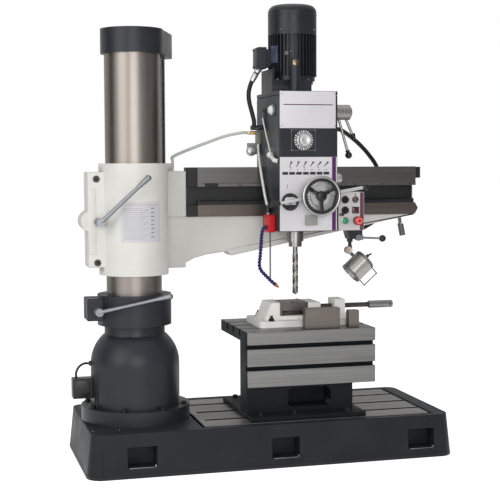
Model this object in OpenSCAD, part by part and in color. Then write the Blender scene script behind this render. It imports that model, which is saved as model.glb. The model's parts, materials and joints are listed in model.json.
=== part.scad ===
// Radial arm drill with box table and machine vise. Millimetres, +Z up, +X along the arm, +Y to the back.
// The origin is on the column's axis, on the floor.

/* [Base] */
// Length of the base plate
base_l = 1580; // [1500:1:1700]
// Width of the base plate at its top
base_w = 670; // [640:1:720]
// Height of the base plate
base_h = 184; // [170:1:210]
// Distance from the column's axis to the left end of the base
base_left = 238; // [236:1:270]
// Radius of the base's upright corners
base_corner = 48; // [30:1:80]
// How far the base's sides flare out at the floor
base_flare = 20; // [10:1:26]
// Width of the machined pad on top
pad_w = 580; // [540:1:600]
// Left end of the machined pad
pad_left = 245; // [242:1:280]
// Width of the painted rim at the right end
rim_w = 77; // [60:1:100]
// Width of the coolant gutter round the pad
gutter_w = 12; // [8:1:16]
// Depth of the coolant gutter
gutter_d = 14; // [8:1:24]
// Width of a T-slot's neck on the base
slot_w = 22; // [16:1:26]
// Distance between the base's T-slots
slot_pitch = 163; // [140:1:175]
// Width of an anchor niche
niche_w = 122; // [90:1:140]
// Height of an anchor niche
niche_h = 84; // [60:1:100]
// Height of the ledge under an anchor niche
niche_z = 42; // [30:1:50]
// Depth of an anchor niche
niche_d = 70; // [60:1:80]
// Diameter of an anchor bolt hole
anchor_d = 26; // [18:1:30]

/* [Column] */
// Diameter of the ground column tube
column_d = 240; // [232:1:246]
// Wall of the column tube
column_wall = 26; // [18:1:30]
// Diameter of the pedestal's flange
flange_d = 472; // [460:1:476]
// Thickness of the pedestal's flange
flange_h = 62; // [50:1:70]
// Diameter of the pedestal's body
bell_d = 386; // [376:1:400]
// Height of the pedestal above the base
bell_h = 411; // [395:1:430]
// Wall of the pedestal's neck
neck_wall = 11; // [8:1:16]
// Diameter of a flange bolt
flange_bolt_d = 18; // [14:1:22]
// Diameter of the clamp collar
collar_d = 320; // [300:1:330]
// Height of the clamp collar
collar_h = 132; // [120:1:145]
// Height of bare column between collar and cap
column_bare = 1032; // [1010:1:1060]
// Diameter of the cap
cap_d = 270; // [262:1:284]
// Height of the cap
cap_h = 105; // [95:1:120]
// Distance from the column's axis to the lift screw
screw_r = 250; // [246:1:254]
// Direction of the lift screw, seen from above
screw_angle = 50; // [48:1:52]
// Diameter of the lift screw
screw_d = 42; // [34:1:46]

/* [Arm] */
// Gap between the collar and the arm's sleeve
arm_gap = 85; // [75:1:120]
// Diameter of the sleeve
sleeve_d = 300; // [290:1:310]
// Height of the sleeve
sleeve_h = 479; // [470:1:490]
// Drop from the sleeve's top to the top of the upper way
way_drop = 19; // [12:1:24]
// Height of the upper way
upper_way_h = 88; // [84:1:92]
// Height of the recess between the ways
recess_h = 81; // [78:1:90]
// Height of the lower way
lower_way_h = 53; // [48:1:60]
// Right end of the ways
way_end = 1368; // [1330:1:1400]
// Front face of the ways behind the column's plane
way_y = 120; // [116:1:124]
// Depth of the upper way from front to back
way_depth = 60; // [56:1:64]
// Back face of the arm behind the column's plane
arm_back = 235; // [225:1:250]
// Fall of the arm's underside towards the root
arm_taper = 175; // [150:1:190]

/* [Head] */
// Distance from the column's axis to the spindle
spindle_x = 734; // [700:1:760]
// Width of the head
head_w = 268; // [262:1:276]
// Distance from the head's left face to the spindle
spindle_off = 118; // [116:1:122]
// Front face of the head before the column's plane
head_front = 150; // [146:1:156]
// Back face of the head's top behind the column's plane
head_back = 217; // [212:1:226]
// Distance from the lower way's underside to the head's underside
head_drop = 60; // [54:1:66]
// Height of the head's casting
head_h = 595; // [585:1:610]
// Wall of the head's casting
head_wall = 15; // [12:1:18]
// Thickness of the head's top cover
cover_t = 18; // [14:1:24]
// Height of the motor mount on the cover
mount_h = 60; // [52:1:70]
// Diameter of the quill
quill_d = 75; // [71:1:78]
// Travel that the quill's rack allows
quill_travel = 125; // [90:1:128]
// Diameter of the twist drill
drill_d = 26; // [20:1:28]
// Length of the twist drill below the spindle
drill_l = 217; // [190:1:225]
// Diameter of the motor over its fins
motor_d = 222; // [214:1:228]
// Length of the finned motor housing
motor_l = 220; // [210:1:230]
// Length of the fan cover
fan_l = 122; // [115:1:140]
// Pitch radius of the pinion on the motor's shaft
motor_pinion_r = 48; // [46:1:50]
// Pitch radius of the bull gear on the spindle
bull_gear_r = 100; // [98:1:101]
// Pitch radius of the feed pinion
feed_pinion_r = 15; // [14:1:16]
// Pitch radius of the traverse pinion
rack_pinion_r = 24; // [23:1:25]
// Outer diameter of the handwheel
wheel_d = 176; // [160:1:190]
// Length of the long feed lever
feed_lever_l = 224; // [200:1:232]

/* [Table and vise] */
// Left face of the table
table_x = 456; // [450:1:470]
// Width of the table
table_w = 589; // [580:1:620]
// Depth of the table top
table_d = 475; // [450:1:500]
// Front face of the table before the column's plane
table_front = 197; // [190:1:205]
// Height of the table top above the base
table_h = 377; // [370:1:384]
// Thickness of the table top
table_t = 51; // [48:1:60]
// Height of the machined front face
face_h = 243; // [238:1:250]
// Thickness of the table's front wall
wall_t = 127; // [115:1:140]
// Width of a T-slot's neck on the table
table_slot_w = 18; // [14:1:20]
// Distance between the T-slots of the table top
table_slot_pitch = 110; // [100:1:116]
// Width of the vise's jaws
vise_w = 150; // [140:1:160]
// Opening of the vise's jaws
vise_gap = 108; // [60:1:110]
// Height of the vise's bed
vise_bed_h = 44; // [40:1:48]
// Height of the vise's jaws above the bed
jaw_h = 60; // [54:1:66]

/* [Fits] */
// Gap between sliding faces
gap = 0.3; // [0.2:0.05:0.5]
// Radial clearance of a running fit
fit = 0.05; // [0.03:0.01:0.09]

/* [Hidden] */
$fn = 72;
column_r = column_d / 2;
tube_bore_r = column_r - column_wall;
post_r = tube_bore_r - 14;
bell_r = bell_d / 2;
neck_r = column_r + neck_wall;
dome_r = 170;
dome_z = base_h + bell_h - 171;
collar_z = base_h + bell_h;
collar_top = collar_z + collar_h;
cap_z = collar_top + column_bare;
cap_wall = 10;
cap_floor = 6;
cap_ear_r = 53;
screw_x = screw_r * cos(screw_angle);
screw_y = screw_r * sin(screw_angle);
screw_low = collar_top + 108;
nut_r = 38;
nut_h = 60;
nut_housing_r = 46;
nut_housing_h = 160;
sleeve_r = sleeve_d / 2;
sleeve_z = collar_top + arm_gap;
sleeve_top = sleeve_z + sleeve_h;
way_top = sleeve_top - way_drop;
upper_z = way_top - upper_way_h;
recess_z = upper_z - recess_h;
lower_z = recess_z - lower_way_h;
rack_front = way_y + 24;
web_y = way_y + 30;
skirt_y = way_y + 15;
slab_y = way_y + way_depth;
slab_top = way_top - 37;
root_x = 260;
way_start = root_x + 52;
root_z = sleeve_z + 9;
root_top = sleeve_top - 35;
head_x = spindle_x - spindle_off;
head_x1 = head_x + head_w;
panel_t = 3;
casting_front = -head_front + panel_t;
saddle_y = way_y - gap;
saddle_z = way_top + gap;
head_z = lower_z - head_drop;
head_top = head_z + head_h;
chamber_z = saddle_z + 28;
cover_top = head_top + cover_t;
mount_top = cover_top + mount_h;
motor_r = motor_d / 2;
motor_core_r = motor_r - 16;
motor_x = spindle_x + 32;
gear_distance = motor_pinion_r + bull_gear_r;
motor_y = sqrt(gear_distance * gear_distance - pow(motor_x - spindle_x, 2));
motor_top = mount_top + motor_l;
terminal_x = motor_x - motor_r - 62;
terminal_z = mount_top + 52;
shaft_r = 14;
gear_z = head_top - 105;
gear_h = 40;
quill_r = quill_d / 2;
feed_z = recess_z + 20 + rack_pinion_r;
quill_rack_x = quill_r - 4.5;
quill_low = head_z - 51;
quill_top = feed_z + quill_travel + 13;
quill_bore_r = 26;
spindle_r = 22;
spline_r = 17.5;
nose_r = 30;
nose_h = 24;
spindle_top = cover_top + 97;
drill_top = quill_low - nose_h;
feed_x = spindle_x + quill_rack_x + feed_pinion_r;
feed_tube_r = feed_pinion_r - 3.5;
traverse_r = 7;
hub_y = -head_front - gap;
lever_y = -head_front - 45;
wheel_y = -head_front - 80;
tube_r = 24;
gear_hub_y = -70;
gear_hub_z = head_top - 71;
gear_hub_r = 33;
gear_shaft_r = 14;
box_w = 131;
box_x1 = head_x1 + box_w;
box_front = -130;
box_back = -40;
box_h = 170;
box_wall = 3;
bracket_h = 40;
lamp_x = head_x1 + 70;
lamp_y = -90;
lamp_z = head_z - 90;
lamp_r = 48;
lamp_l = 97;
lamp_aim = -132;
table_y0 = -table_front;
table_y1 = table_y0 + table_d;
table_x1 = table_x + table_w;
table_top = base_h + table_h;
face_z = table_top - face_h;
foot_t = 21;
foot_x0 = table_x - 6;
foot_x1 = table_x + 514;
vise_x = table_x + 89;
table_slots_y = [for (k = [-1:1]) table_y0 + 241 + k * table_slot_pitch];
vise_mid = table_slots_y[1];
vise_y0 = vise_mid - vise_w / 2;
vise_y1 = vise_mid + vise_w / 2;
vise_flange_h = 28;
bed_z = table_top + vise_bed_h;
jaw_top = bed_z + jaw_h;
fixed_jaw_x = vise_x + 107;
plate_t = 12;
jaw_x = fixed_jaw_x + plate_t + vise_gap;
jaw_l = 73;
jaw_back = jaw_x + jaw_l;
vise_screw_z = bed_z + 30;
vise_screw_r = 11;
vise_end = vise_x + 673;
rail_slot = 60;

// Routes of the cords and hoses
junction_route = [[-258, 0, 367], [-258, 0, 390], [-246, 0, 414], [-224, 0, 428], [-202, 0, 428]];
motor_route = [[594, 150, 1694], [588.3, 150, 1684.7], [577, 150, 1664], [567, 150, 1640], [561, 150, 1614],
    [560, 150, 1590], [564, 150, 1562], [572, 150, 1532], [580, 150, 1502], [585, 150, 1480],
    [585, 150, 1462]];
conduit_route = [[904, 60, 1446], [932, 60, 1446], [995, 118, 1440], [1066, 180, 1410], [1130, 226, 1372],
    [1180, 252, 1330], [1222, 264, 1280], [1248, 268, 1215], [1256, 268, 1140], [1246, 266, 1065],
    [1215, 262, 1012], [1170, 256, 985], [1115, 238, 965], [1062, 190, 952], [1025, 120, 950],
    [1000, 55, 972], [982, 5, 1000], [975, -16, 1010], [975, -40, 1010]];
hose_route = [[218, 212, 1305], [218, 212, 1319], [264, 203, 1342], [364, 184, 1381], [450, 172, 1412],
    [525, 160, 1428], [560, 160, 1428]];
tube_route = [[606, 155, 1378], [606, 155, 1352], [602, 118, 1290], [601, 72, 1215], [602, 28, 1140],
    [603, -14, 1086], [603, -14, 1062]];
lube_route = [[606, 80, 1492], [605, 62, 1470], [605, 20, 1415], [605, -20, 1368], [605, -43, 1338]];
nozzle_route = [[586, -50, 1006], [574, -50, 1006], [564, -50, 978], [560, -50, 930], [556, -50, 880],
    [552, -50, 840], [560, -50, 815], [583, -50, 790], [608, -50, 765], [626, -50, 750]];
junction_d = 10;
motor_cable_d = 20;
conduit_d = 20;
hose_d = 14;
tube_d = 12;
lube_d = 6;
nozzle_d = 18;
nozzle_bore = 8;

paint = [0.17, 0.19, 0.22];
cream = [0.85, 0.84, 0.79];
steel = [0.62, 0.61, 0.58];
bright = [0.78, 0.78, 0.78];
way_grey = [0.42, 0.40, 0.38];
black = [0.06, 0.06, 0.07];
panel = [0.82, 0.81, 0.83];
red = [0.75, 0.08, 0.08];
green = [0.05, 0.50, 0.25];
blue = [0.12, 0.10, 0.42];
white = [0.92, 0.92, 0.90];
bronze = [0.66, 0.48, 0.22];

// Shapes that repeat

module block(x0, x1, y0, y1, z0, z1) { translate([x0, y0, z0]) cube([x1 - x0, y1 - y0, z1 - z0]); }

module rod_x(x0, x1, y, z, r) { translate([x0, y, z]) rotate([0, 90, 0]) cylinder(h = x1 - x0, r = r); }

module rod_y(y0, y1, x, z, r) { translate([x, y0, z]) rotate([-90, 0, 0]) cylinder(h = y1 - y0, r = r); }

module rod_z(z0, z1, x, y, r) { translate([x, y, z0]) cylinder(h = z1 - z0, r = r); }

// A round rod between any two points
module rod(p, q, r) {
    d = q - p;
    translate(p) rotate([0, acos(d[2] / norm(d)), atan2(d[1], d[0])]) cylinder(h = norm(d), r = r);
}

// A rod that tapers between two points
module taper(p, q, r0, r1) {
    d = q - p;
    translate(p) rotate([0, acos(d[2] / norm(d)), atan2(d[1], d[0])]) cylinder(h = norm(d), r1 = r0, r2 = r1);
}

module ring_z(z0, z1, r_out, r_in) {
    difference() {
        cylinder_at(z0, z1, r_out);
        cylinder_at(z0 - 1, z1 + 1, r_in);
    }
}

module cylinder_at(z0, z1, r) { translate([0, 0, z0]) cylinder(h = z1 - z0, r = r); }

// Draws a flat outline, given in X and Z, as a plate between two depths
module xz_plate(y0, y1) { translate([0, y1, 0]) rotate([90, 0, 0]) linear_extrude(y1 - y0) children(); }

module rounded_square(w, h, r) {
    translate([r, 0]) square([w - 2 * r, h]);
    translate([0, r]) square([w, h - 2 * r]);
    for (x = [r, w - r], y = [r, h - r]) translate([x, y]) circle(r);
}

// A T-slot's cross-section, cut down from the origin
module t_slot_section(w, depth) {
    head_w = w * 1.7;
    head_h = depth * 0.45;
    translate([-w / 2, -depth]) square([w, depth + 1]);
    translate([-head_w / 2, -depth]) square([head_w, head_h]);
}

// A plain toothed wheel that stays inside its pitch circle
module gear_outline(r, teeth) {
    tooth_depth = 2.2 * r / teeth * 2;
    difference() {
        circle(r - fit * 3);
        for (i = [0:teeth - 1]) rotate(i * 360 / teeth) translate([r, 0])
            square([tooth_depth * 2, PI * r / teeth], center = true);
    }
}

// A bolt that hangs from its seat at the origin, with a round head on top
module bolt(d, l, head_d, head_h) {
    translate([0, 0, -l]) cylinder(h = l, d = d);
    cylinder(h = head_h, d = head_d);
}

// Two round ends joined by their outer tangents, seen from above
module tangent_outline(r0, r1, x, y) {
    d = norm([x, y]);
    turn = atan2(y, x);
    side = acos((r0 - r1) / d);
    circle(r0);
    translate([x, y]) circle(r1);
    rotate(turn) polygon([r0 * [cos(side), sin(side)], r0 * [cos(side), -sin(side)],
        [d, 0] + r1 * [cos(side), -sin(side)], [d, 0] + r1 * [cos(side), sin(side)]]);
}

// Smooth curve through hand-chosen points, straight in its first and last stretch
function bend(a, b, c, d, t) = 0.5 * (2 * b + (c - a) * t + (2 * a - 5 * b + 4 * c - d) * t * t
    + (3 * b - a - 3 * c + d) * t * t * t);
function curve(p, n) = let(last = len(p) - 1) concat([for (i = [0:last - 1], k = [0:n - 1])
    i == 0 || i == last - 1 ? p[i] + (p[i + 1] - p[i]) * k / n
        : bend(p[i - 1], p[i], p[i + 1], p[i + 2], k / n)], [p[last]]);
function unit(v) = v / norm(v);
function along(c, i) = unit(c[min(i + 1, len(c) - 1)] - c[max(i - 1, 0)]);
function across(c, i) = i == 0 ? unit(cross(along(c, 0), [0.31, 0.87, 0.38]))
    : let(u = across(c, i - 1), t = along(c, i)) unit(u - t * (u * t));
function ring_points(c, i, r, sides) = let(t = along(c, i), u = across(c, i), v = cross(t, u))
    [for (k = [0:sides - 1]) c[i] + r * (cos(k * 360 / sides) * u + sin(k * 360 / sides) * v)];
function ring_faces(a, b, sides, flip) = [for (k = [0:sides - 1]) let(n = (k + 1) % sides)
    each flip ? [[a + k, b + n, b + k], [a + k, a + n, b + n]]
        : [[a + k, b + k, b + n], [a + k, b + n, a + n]]];

// A closed tube along a curve
module cord(c, d, sides) {
    n = len(c);
    last = (n - 1) * sides;
    polyhedron(points = [for (i = [0:n - 1]) each ring_points(c, i, d / 2, sides)],
        faces = concat([for (i = [0:n - 2]) each ring_faces(i * sides, (i + 1) * sides, sides, false)],
            [for (k = [1:sides - 2]) [0, k, k + 1]],
            [for (k = [1:sides - 2]) [last, last + k + 1, last + k]]));
}

// A ribbed hose with a bore: every other ring of the outside stands proud
module ribbed_hose(c, d, rib, bore, sides) {
    n = len(c);
    inner = n * sides;
    last = (n - 1) * sides;
    polyhedron(points = concat(
            [for (i = [0:n - 1]) each ring_points(c, i, d / 2 - (i % 2) * rib, sides)],
            [for (i = [0:n - 1]) each ring_points(c, i, bore / 2, sides)]),
        faces = concat(
            [for (i = [0:n - 2]) each ring_faces(i * sides, (i + 1) * sides, sides, false)],
            [for (i = [0:n - 2]) each ring_faces(inner + i * sides, inner + (i + 1) * sides, sides, true)],
            ring_faces(0, inner, sides, true), ring_faces(last, inner + last, sides, false)));
}

// Base

module base_body() {
    hull() for (x = [base_corner - base_left, base_l - base_left - base_corner],
        y = [base_corner - base_w / 2, base_w / 2 - base_corner])
        translate([x, y, 0]) cylinder(h = base_h, r1 = base_corner + base_flare, r2 = base_corner, $fn = 32);
}

pad_x1 = base_l - base_left - rim_w;
niche_x = [207 - base_left, (base_l - 2 * base_left) / 2 + 34, base_l - base_left - rim_w - niche_w / 2];
flange_bolt_r = (flange_d / 2 + bell_r) / 2;

module base_gutter() {
    difference() {
        block(pad_left - gutter_w, pad_x1 + gutter_w, -pad_w / 2 - gutter_w, pad_w / 2 + gutter_w,
            base_h - gutter_d, base_h + 1);
        block(pad_left, pad_x1, -pad_w / 2, pad_w / 2, base_h - gutter_d - 1, base_h + 2);
    }
}

module base_pockets() {
    cell = 165;
    rib = 22;
    rows = floor((base_l - 150) / cell);
    start = -base_left + (base_l - rows * cell) / 2;
    for (i = [0:rows - 1], y = [-1, 0, 1])
        block(start + i * cell + rib / 2, start + (i + 1) * cell - rib / 2, y * 158 - 68, y * 158 + 68,
            -1, base_h - 70);
}

module base_plate() {
    color(paint) difference() {
        base_body();
        base_gutter();
        base_pockets();
        for (y = [-1, 0, 1]) translate([pad_left + 30, y * slot_pitch, base_h]) rotate([90, 0, 90])
            linear_extrude(pad_x1 + gutter_w - pad_left - 30) t_slot_section(slot_w, 38);
        for (x = niche_x, s = [-1, 1]) {
            block(x - niche_w / 2, x + niche_w / 2, s > 0 ? base_w / 2 - niche_d : -base_w / 2 - 20,
                s > 0 ? base_w / 2 + 20 : niche_d - base_w / 2, niche_z, niche_z + niche_h);
            rod_z(-1, niche_z + 1, x, s * (base_w / 2 - niche_d / 2), anchor_d / 2);
        }
        for (a = [0:7]) rotate(a * 45 + 22.5)
            rod_z(base_h - 50, base_h + 1, flange_bolt_r, 0, flange_bolt_d / 2);
        for (p = table_bolt_places) rod_z(base_h - 50, base_h + 1, p[0], p[1], table_bolt_d / 2);
    }
}

// Column

module bell_profile() {
    intersection() {
        union() {
            square([flange_d / 2, base_h + flange_h]);
            square([bell_r, dome_z]);
            intersection() {
                translate([bell_r - dome_r, dome_z]) circle(dome_r);
                translate([0, dome_z]) square([bell_r, dome_r]);
            }
            square([neck_r, collar_z]);
        }
        translate([0, base_h]) square([flange_d, bell_h]);
    }
}

module column_pedestal() {
    cavity_r = bell_r - 28;
    color(paint) difference() {
        union() {
            rotate_extrude() bell_profile();
            rod_x(-junction_gland_x, -bell_r + 12, 0, 428, 11);
        }
        cylinder_at(base_h - 1, dome_z + 46, cavity_r);
        cylinder_at(base_h, collar_z + 1, column_r + fit * 2);
        for (a = [0:7]) rotate(a * 45 + 22.5)
            rod_z(base_h - 1, collar_z, flange_bolt_r, 0, flange_bolt_d / 2);
    }
}

junction_gland_x = 202;

module pedestal_bolts() {
    color(steel) for (a = [0:7]) rotate(a * 45 + 22.5) translate([flange_bolt_r, 0, base_h + flange_h])
        bolt(flange_bolt_d - 2 * fit, flange_h + 40, flange_bolt_d * 1.5, 10);
}

post_top = cap_z - 280;
post_flange_h = 30;

module inner_post() {
    color(way_grey) difference() {
        union() {
            cylinder_at(base_h, base_h + post_flange_h, bell_r - 40);
            cylinder_at(base_h, post_top, post_r);
        }
        cylinder_at(base_h - 1, post_top + 1, post_r - 18);
    }
}

tube_low = base_h + 78;

module column_bearings() {
    color(bright) {
        ring_z(base_h + post_flange_h, tube_low - gap, column_r - 4, post_r + 12);
        for (z = [tube_low + 38, post_top - 60]) ring_z(z, z + 40, tube_bore_r - fit, post_r + 0.02);
    }
}

module column_tube() {
    color(steel) ring_z(tube_low, cap_z + cap_floor, column_r, tube_bore_r);
}

clamp_x = -collar_d / 2 - 15;
clamp_z = collar_z + 71;
ear_slit = 6;
ear_y = 62;
clamp_shaft_r = 12;

module clamp_collar() {
    color(paint) difference() {
        union() {
            cylinder_at(collar_z, collar_top, collar_d / 2);
            block(-collar_d / 2 - 54, -column_r - 10, -ear_y, ear_y, collar_z + 23, collar_top - 13);
        }
        cylinder_at(collar_z - 1, collar_top + 1, column_r + fit);
        block(-collar_d, -column_r + 5, -ear_slit / 2, ear_slit / 2, collar_z - 1, collar_top + 1);
        rod_y(-ear_y - 1, ear_y + 1, clamp_x, clamp_z, clamp_shaft_r);
    }
}

// A forged clamp lever: shaft through the ears, hub in front and a rod to a swollen end
module clamp_lever(x, z, reach_y, tip, tip_r) {
    start = [x, -reach_y, z];
    grip = start + 0.80 * (tip - start);
    color(bright) {
        rod_y(-reach_y, ear_y + 12, x, z, clamp_shaft_r - fit);
        rod_y(-reach_y - 8, -ear_y - gap, x, z, 17);
        rod_y(ear_y + gap, ear_y + 12, x, z, 20);
        taper(start, start + 0.84 * (tip - start), 9, 7.5);
        taper(grip, tip, 8.5, tip_r);
        translate(tip) sphere(tip_r + 1);
    }
}

module column_clamp_lever() {
    clamp_lever(clamp_x, clamp_z, collar_d / 2 - 8, [118, -collar_d / 2 - 36, collar_top + 2], 13);
}

module column_cap() {
    color(paint) difference() {
        translate([0, 0, cap_z]) linear_extrude(cap_h)
            tangent_outline(cap_d / 2, cap_ear_r, screw_x, screw_y);
        translate([0, 0, cap_z + cap_floor]) linear_extrude(cap_h - cap_floor - cap_wall)
            tangent_outline(cap_d / 2 - cap_wall, cap_ear_r - cap_wall, screw_x, screw_y);
        cylinder_at(cap_z - 1, cap_z + cap_floor + 1, column_r + 0.02);
        rod_z(cap_z - 1, cap_z + cap_floor + 1, screw_x, screw_y, screw_d / 2 + fit);
    }
}

lift_shaft_r = 12;
lift_motor_z = cap_z + cap_floor + 20;

module lift_motor() {
    color(black) difference() {
        rod_z(lift_motor_z, cap_z + cap_h - cap_wall, screw_x, screw_y, cap_ear_r - cap_wall - 3);
        rod_z(lift_motor_z - 1, lift_motor_z + 46, screw_x, screw_y, lift_shaft_r + fit);
    }
}

module lift_screw() {
    color(way_grey) {
        rod_z(screw_low, cap_z + cap_floor + gap, screw_x, screw_y, screw_d / 2);
        rod_z(cap_z + cap_floor + gap, cap_z + cap_floor + 14, screw_x, screw_y, screw_d / 2 + 11);
        rod_z(cap_z + cap_floor, lift_motor_z + 44, screw_x, screw_y, lift_shaft_r);
    }
}

// Arm

arm_clamp_x = -sleeve_r - 14;
arm_clamp_z = sleeve_z + 231;
arm_tip = lower_z - 6;
arm_knee = root_x + 210;

module arm_outline(top) {
    polygon([[root_x - 100, root_z], [root_x - 30, root_z], [root_x - 8, root_z + 17],
        [root_x + 38, root_z + 41], [root_x + 95, root_z + 56],
        [arm_knee - 20, root_z + 68], [arm_knee, arm_tip - arm_taper],
        [way_end - 2, arm_tip], [way_end - 2, top], [root_x - 100, top]]);
}

module arm_body() {
    cylinder_at(sleeve_z, sleeve_top, sleeve_r);
    block(-sleeve_r - 56, -column_r - 10, -ear_y, ear_y, sleeve_z + 35, sleeve_top - 36);
    rod_y(-ear_y, ear_y, -sleeve_r - 40, arm_clamp_z + 3, 45);
    rotate(screw_angle) block(column_r + 14, screw_r, 6 - nut_housing_r, nut_housing_r - 6,
        sleeve_top - nut_housing_h, sleeve_top);
    rod_z(sleeve_top - nut_housing_h, sleeve_top, screw_x, screw_y, nut_housing_r);
    rod_z(root_top - 5, sleeve_top + 14, hose_route[0][0], hose_route[0][1], 6);
    block(60, root_x, way_y - 2, arm_back, lower_z, root_top);
    block(60, root_x, skirt_y, arm_back, root_z, lower_z + 1);
    xz_plate(slab_y, arm_back) arm_outline(slab_top);
    xz_plate(web_y, slab_y) arm_outline(upper_z);
    xz_plate(skirt_y, web_y) arm_outline(lower_z);
}

module arm_casting() {
    color(cream) difference() {
        arm_body();
        cylinder_at(sleeve_z - 1, sleeve_top + 1, column_r + fit);
        block(-sleeve_d, -column_r + 5, -ear_slit / 2, ear_slit / 2, sleeve_z - 1, sleeve_top + 1);
        rod_y(-ear_y - 1, ear_y + 1, arm_clamp_x, arm_clamp_z, clamp_shaft_r);
        rod_z(sleeve_z - 1, sleeve_top + 1, screw_x, screw_y, screw_d / 2 + 3);
        rod_z(sleeve_top - nut_h, sleeve_top + 1, screw_x, screw_y, nut_r + 0.02);
    }
}

module lift_nut() {
    color(bronze) difference() {
        rod_z(sleeve_top - nut_h, sleeve_top, screw_x, screw_y, nut_r);
        rod_z(sleeve_top - nut_h - 1, sleeve_top + 1, screw_x, screw_y, screw_d / 2 + fit);
    }
}

module upper_way() {
    color(way_grey) difference() {
        block(way_start, way_end, way_y, slab_y, upper_z, way_top);
        block(way_start - 1, way_end + 1, way_y - 1, way_y + 2, upper_z + 15, upper_z + 17);
    }
}

module lower_way() {
    color(way_grey) xz_plate(way_y, web_y) polygon([[way_start, lower_z], [way_end - 2, lower_z],
        [way_end + 13, (lower_z + recess_z) / 2], [way_end - 2, recess_z], [way_start, recess_z]]);
}

module traverse_rack() {
    pitch = PI * rack_pinion_r / 8;
    rack_top = recess_z + 20 - fit * 3;
    teeth = floor((way_end - way_start - 40) / pitch);
    color(black) difference() {
        union() {
            block(root_x + 2, way_end - 9, rack_front, web_y, recess_z, upper_z);
            block(way_start, way_end - 9, way_y + 2, web_y, recess_z, rack_top);
        }
        for (i = [0:teeth - 1]) block(way_start + 10 + i * pitch, way_start + 10 + (i + 0.5) * pitch,
            way_y + 1, rack_front, rack_top - 6, rack_top + 1);
    }
}

module way_end_guards() {
    color(black) {
        block(root_x + 2, way_start, way_y, slab_y, upper_z, way_top);
        block(root_x + 2, way_start, way_y, web_y, lower_z, recess_z);
        block(way_end, way_end + 24, way_y + 2, slab_y, way_top - 54, way_top - 2);
    }
}

arm_handle_x = way_end - 65;

module arm_handle() {
    top = [arm_handle_x, skirt_y + 30, arm_tip - arm_taper * 65 / (way_end - arm_knee)];
    color(steel) difference() {
        union() {
            rod(top + [0, 0, 6], top + [6, 0, -28], 8);
            rod(top + [6, 0, -28], top + [18, 0, -86], 14);
        }
        block(arm_handle_x - 60, arm_handle_x + 60, skirt_y, arm_back, top[2] - 30, top[2] + 40);
    }
    color(steel) intersection() {
        rod(top + [0, 0, 6], top + [6, 0, -28], 8);
        difference() {
            block(arm_handle_x - 60, arm_handle_x + 60, skirt_y, arm_back, top[2] - 30, top[2] + 40);
            xz_plate(skirt_y - 1, arm_back + 1) arm_outline(slab_top);
        }
    }
}

module arm_clamp_lever() {
    clamp_lever(arm_clamp_x, arm_clamp_z, sleeve_r - 6, [30, -sleeve_r - 50, sleeve_top - 61], 12);
}

// Head

gear_chamber_y1 = head_back - head_wall;
gib_h = 23;

module head_outside() {
    block(head_x, head_x1, casting_front, saddle_y, head_z, head_top);
    block(head_x, head_x1, saddle_y - 1, head_back, saddle_z, head_top);
    block(head_x, head_x1, slab_y + gap, head_back, slab_top + gap, saddle_z + 1);
    for (x = [head_x + 20, feed_x + rack_pinion_r + 14])
        block(x, x + 66, saddle_y - 1, rack_front - gap, upper_z - gap - gib_h, upper_z - gap);
    rod_x(head_x1 - 1, head_x1 + 14, gear_hub_y, gear_hub_z, gear_hub_r);
    rod_x(head_x1, head_x1 + 82, gear_hub_y, gear_hub_z, gear_shaft_r);
    rod_x(head_x1 - 1, head_x1 + 20, 60, 1446, 15);
    block(head_x - 46, head_x + 1, 134, 166, 1440, 1462);
}

module head_casting() {
    color(paint) difference() {
        head_outside();
        block(head_x + head_wall, head_x1 - head_wall, casting_front + head_wall, gear_chamber_y1, chamber_z,
            head_top + 1);
        block(head_x + 20, head_x1 - 20, casting_front - 1, -60, head_z + 20, chamber_z - 20);
        rod_z(head_z - 1, chamber_z + 1, spindle_x, 0, quill_r + fit);
        rod_y(casting_front - 1, 32, feed_x, feed_z, feed_tube_r + fit);
        rod_y(-26, 26, feed_x, feed_z, feed_pinion_r + 3);
        rod_y(0, saddle_y + 1, feed_x, feed_z, traverse_r + fit);
        rod_y(casting_front - 1, casting_front + head_wall + 1, dial_x, dial_z, dial_shaft_r + fit);
    }
}

mount_x0 = head_x + 22;
mount_x1 = head_x1 - 58;
mount_y0 = 40;

module head_cover() {
    color(paint) difference() {
        union() {
            block(head_x, head_x1, casting_front, head_back, head_top, cover_top);
            block(mount_x0, mount_x1, mount_y0, head_back - 2, cover_top, mount_top);
            block(mount_x0, mount_x0 + 14, mount_y0, head_back - 2, cover_top, terminal_z - 3);
            rod_z(mount_top - 14, mount_top, motor_x, motor_y, motor_core_r);
        }
        rod_z(head_top - 1, mount_top - 20, motor_x, motor_y, motor_pinion_r + 2);
        rod_z(head_top - 1, mount_top + 1, motor_x, motor_y, shaft_r + 12);
        rod_z(head_top - 1, cover_top + 1, spindle_x, 0, tube_r - 4);
    }
}

sight_x = spindle_x - 71;
sight_z = feed_z - 26;
sight_r = 38;

module feed_panel() {
    trip_x = feed_x - 24;
    trip_z = feed_z - 107;
    color(panel) {
        difference() {
            union() {
                block(head_x + 2, head_x1 - 4, -head_front, casting_front, head_z + 3, sight_z + 195);
                block(trip_x - 27, trip_x + 27, -head_front - 16, casting_front, trip_z - 22, trip_z + 22);
            }
            rod_y(-head_front - 1, casting_front + 1, feed_x, feed_z, feed_tube_r + 3);
            rod_y(-head_front - 1, casting_front + 1, sight_x, sight_z, sight_r - 12);
        }
    }
    color(black) difference() {
        union() {
            rod_y(-head_front - 10, -head_front, sight_x, sight_z, sight_r);
            rod_y(-head_front, casting_front + 8, sight_x, sight_z, sight_r - 12.02);
        }
        rod_y(-head_front - 11, -head_front - 4, sight_x, sight_z, sight_r - 8);
    }
}

dial_x = spindle_x - 8;
dial_z = head_top - 196;
dial_r = 45;
dial_shaft_r = 6;

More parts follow.
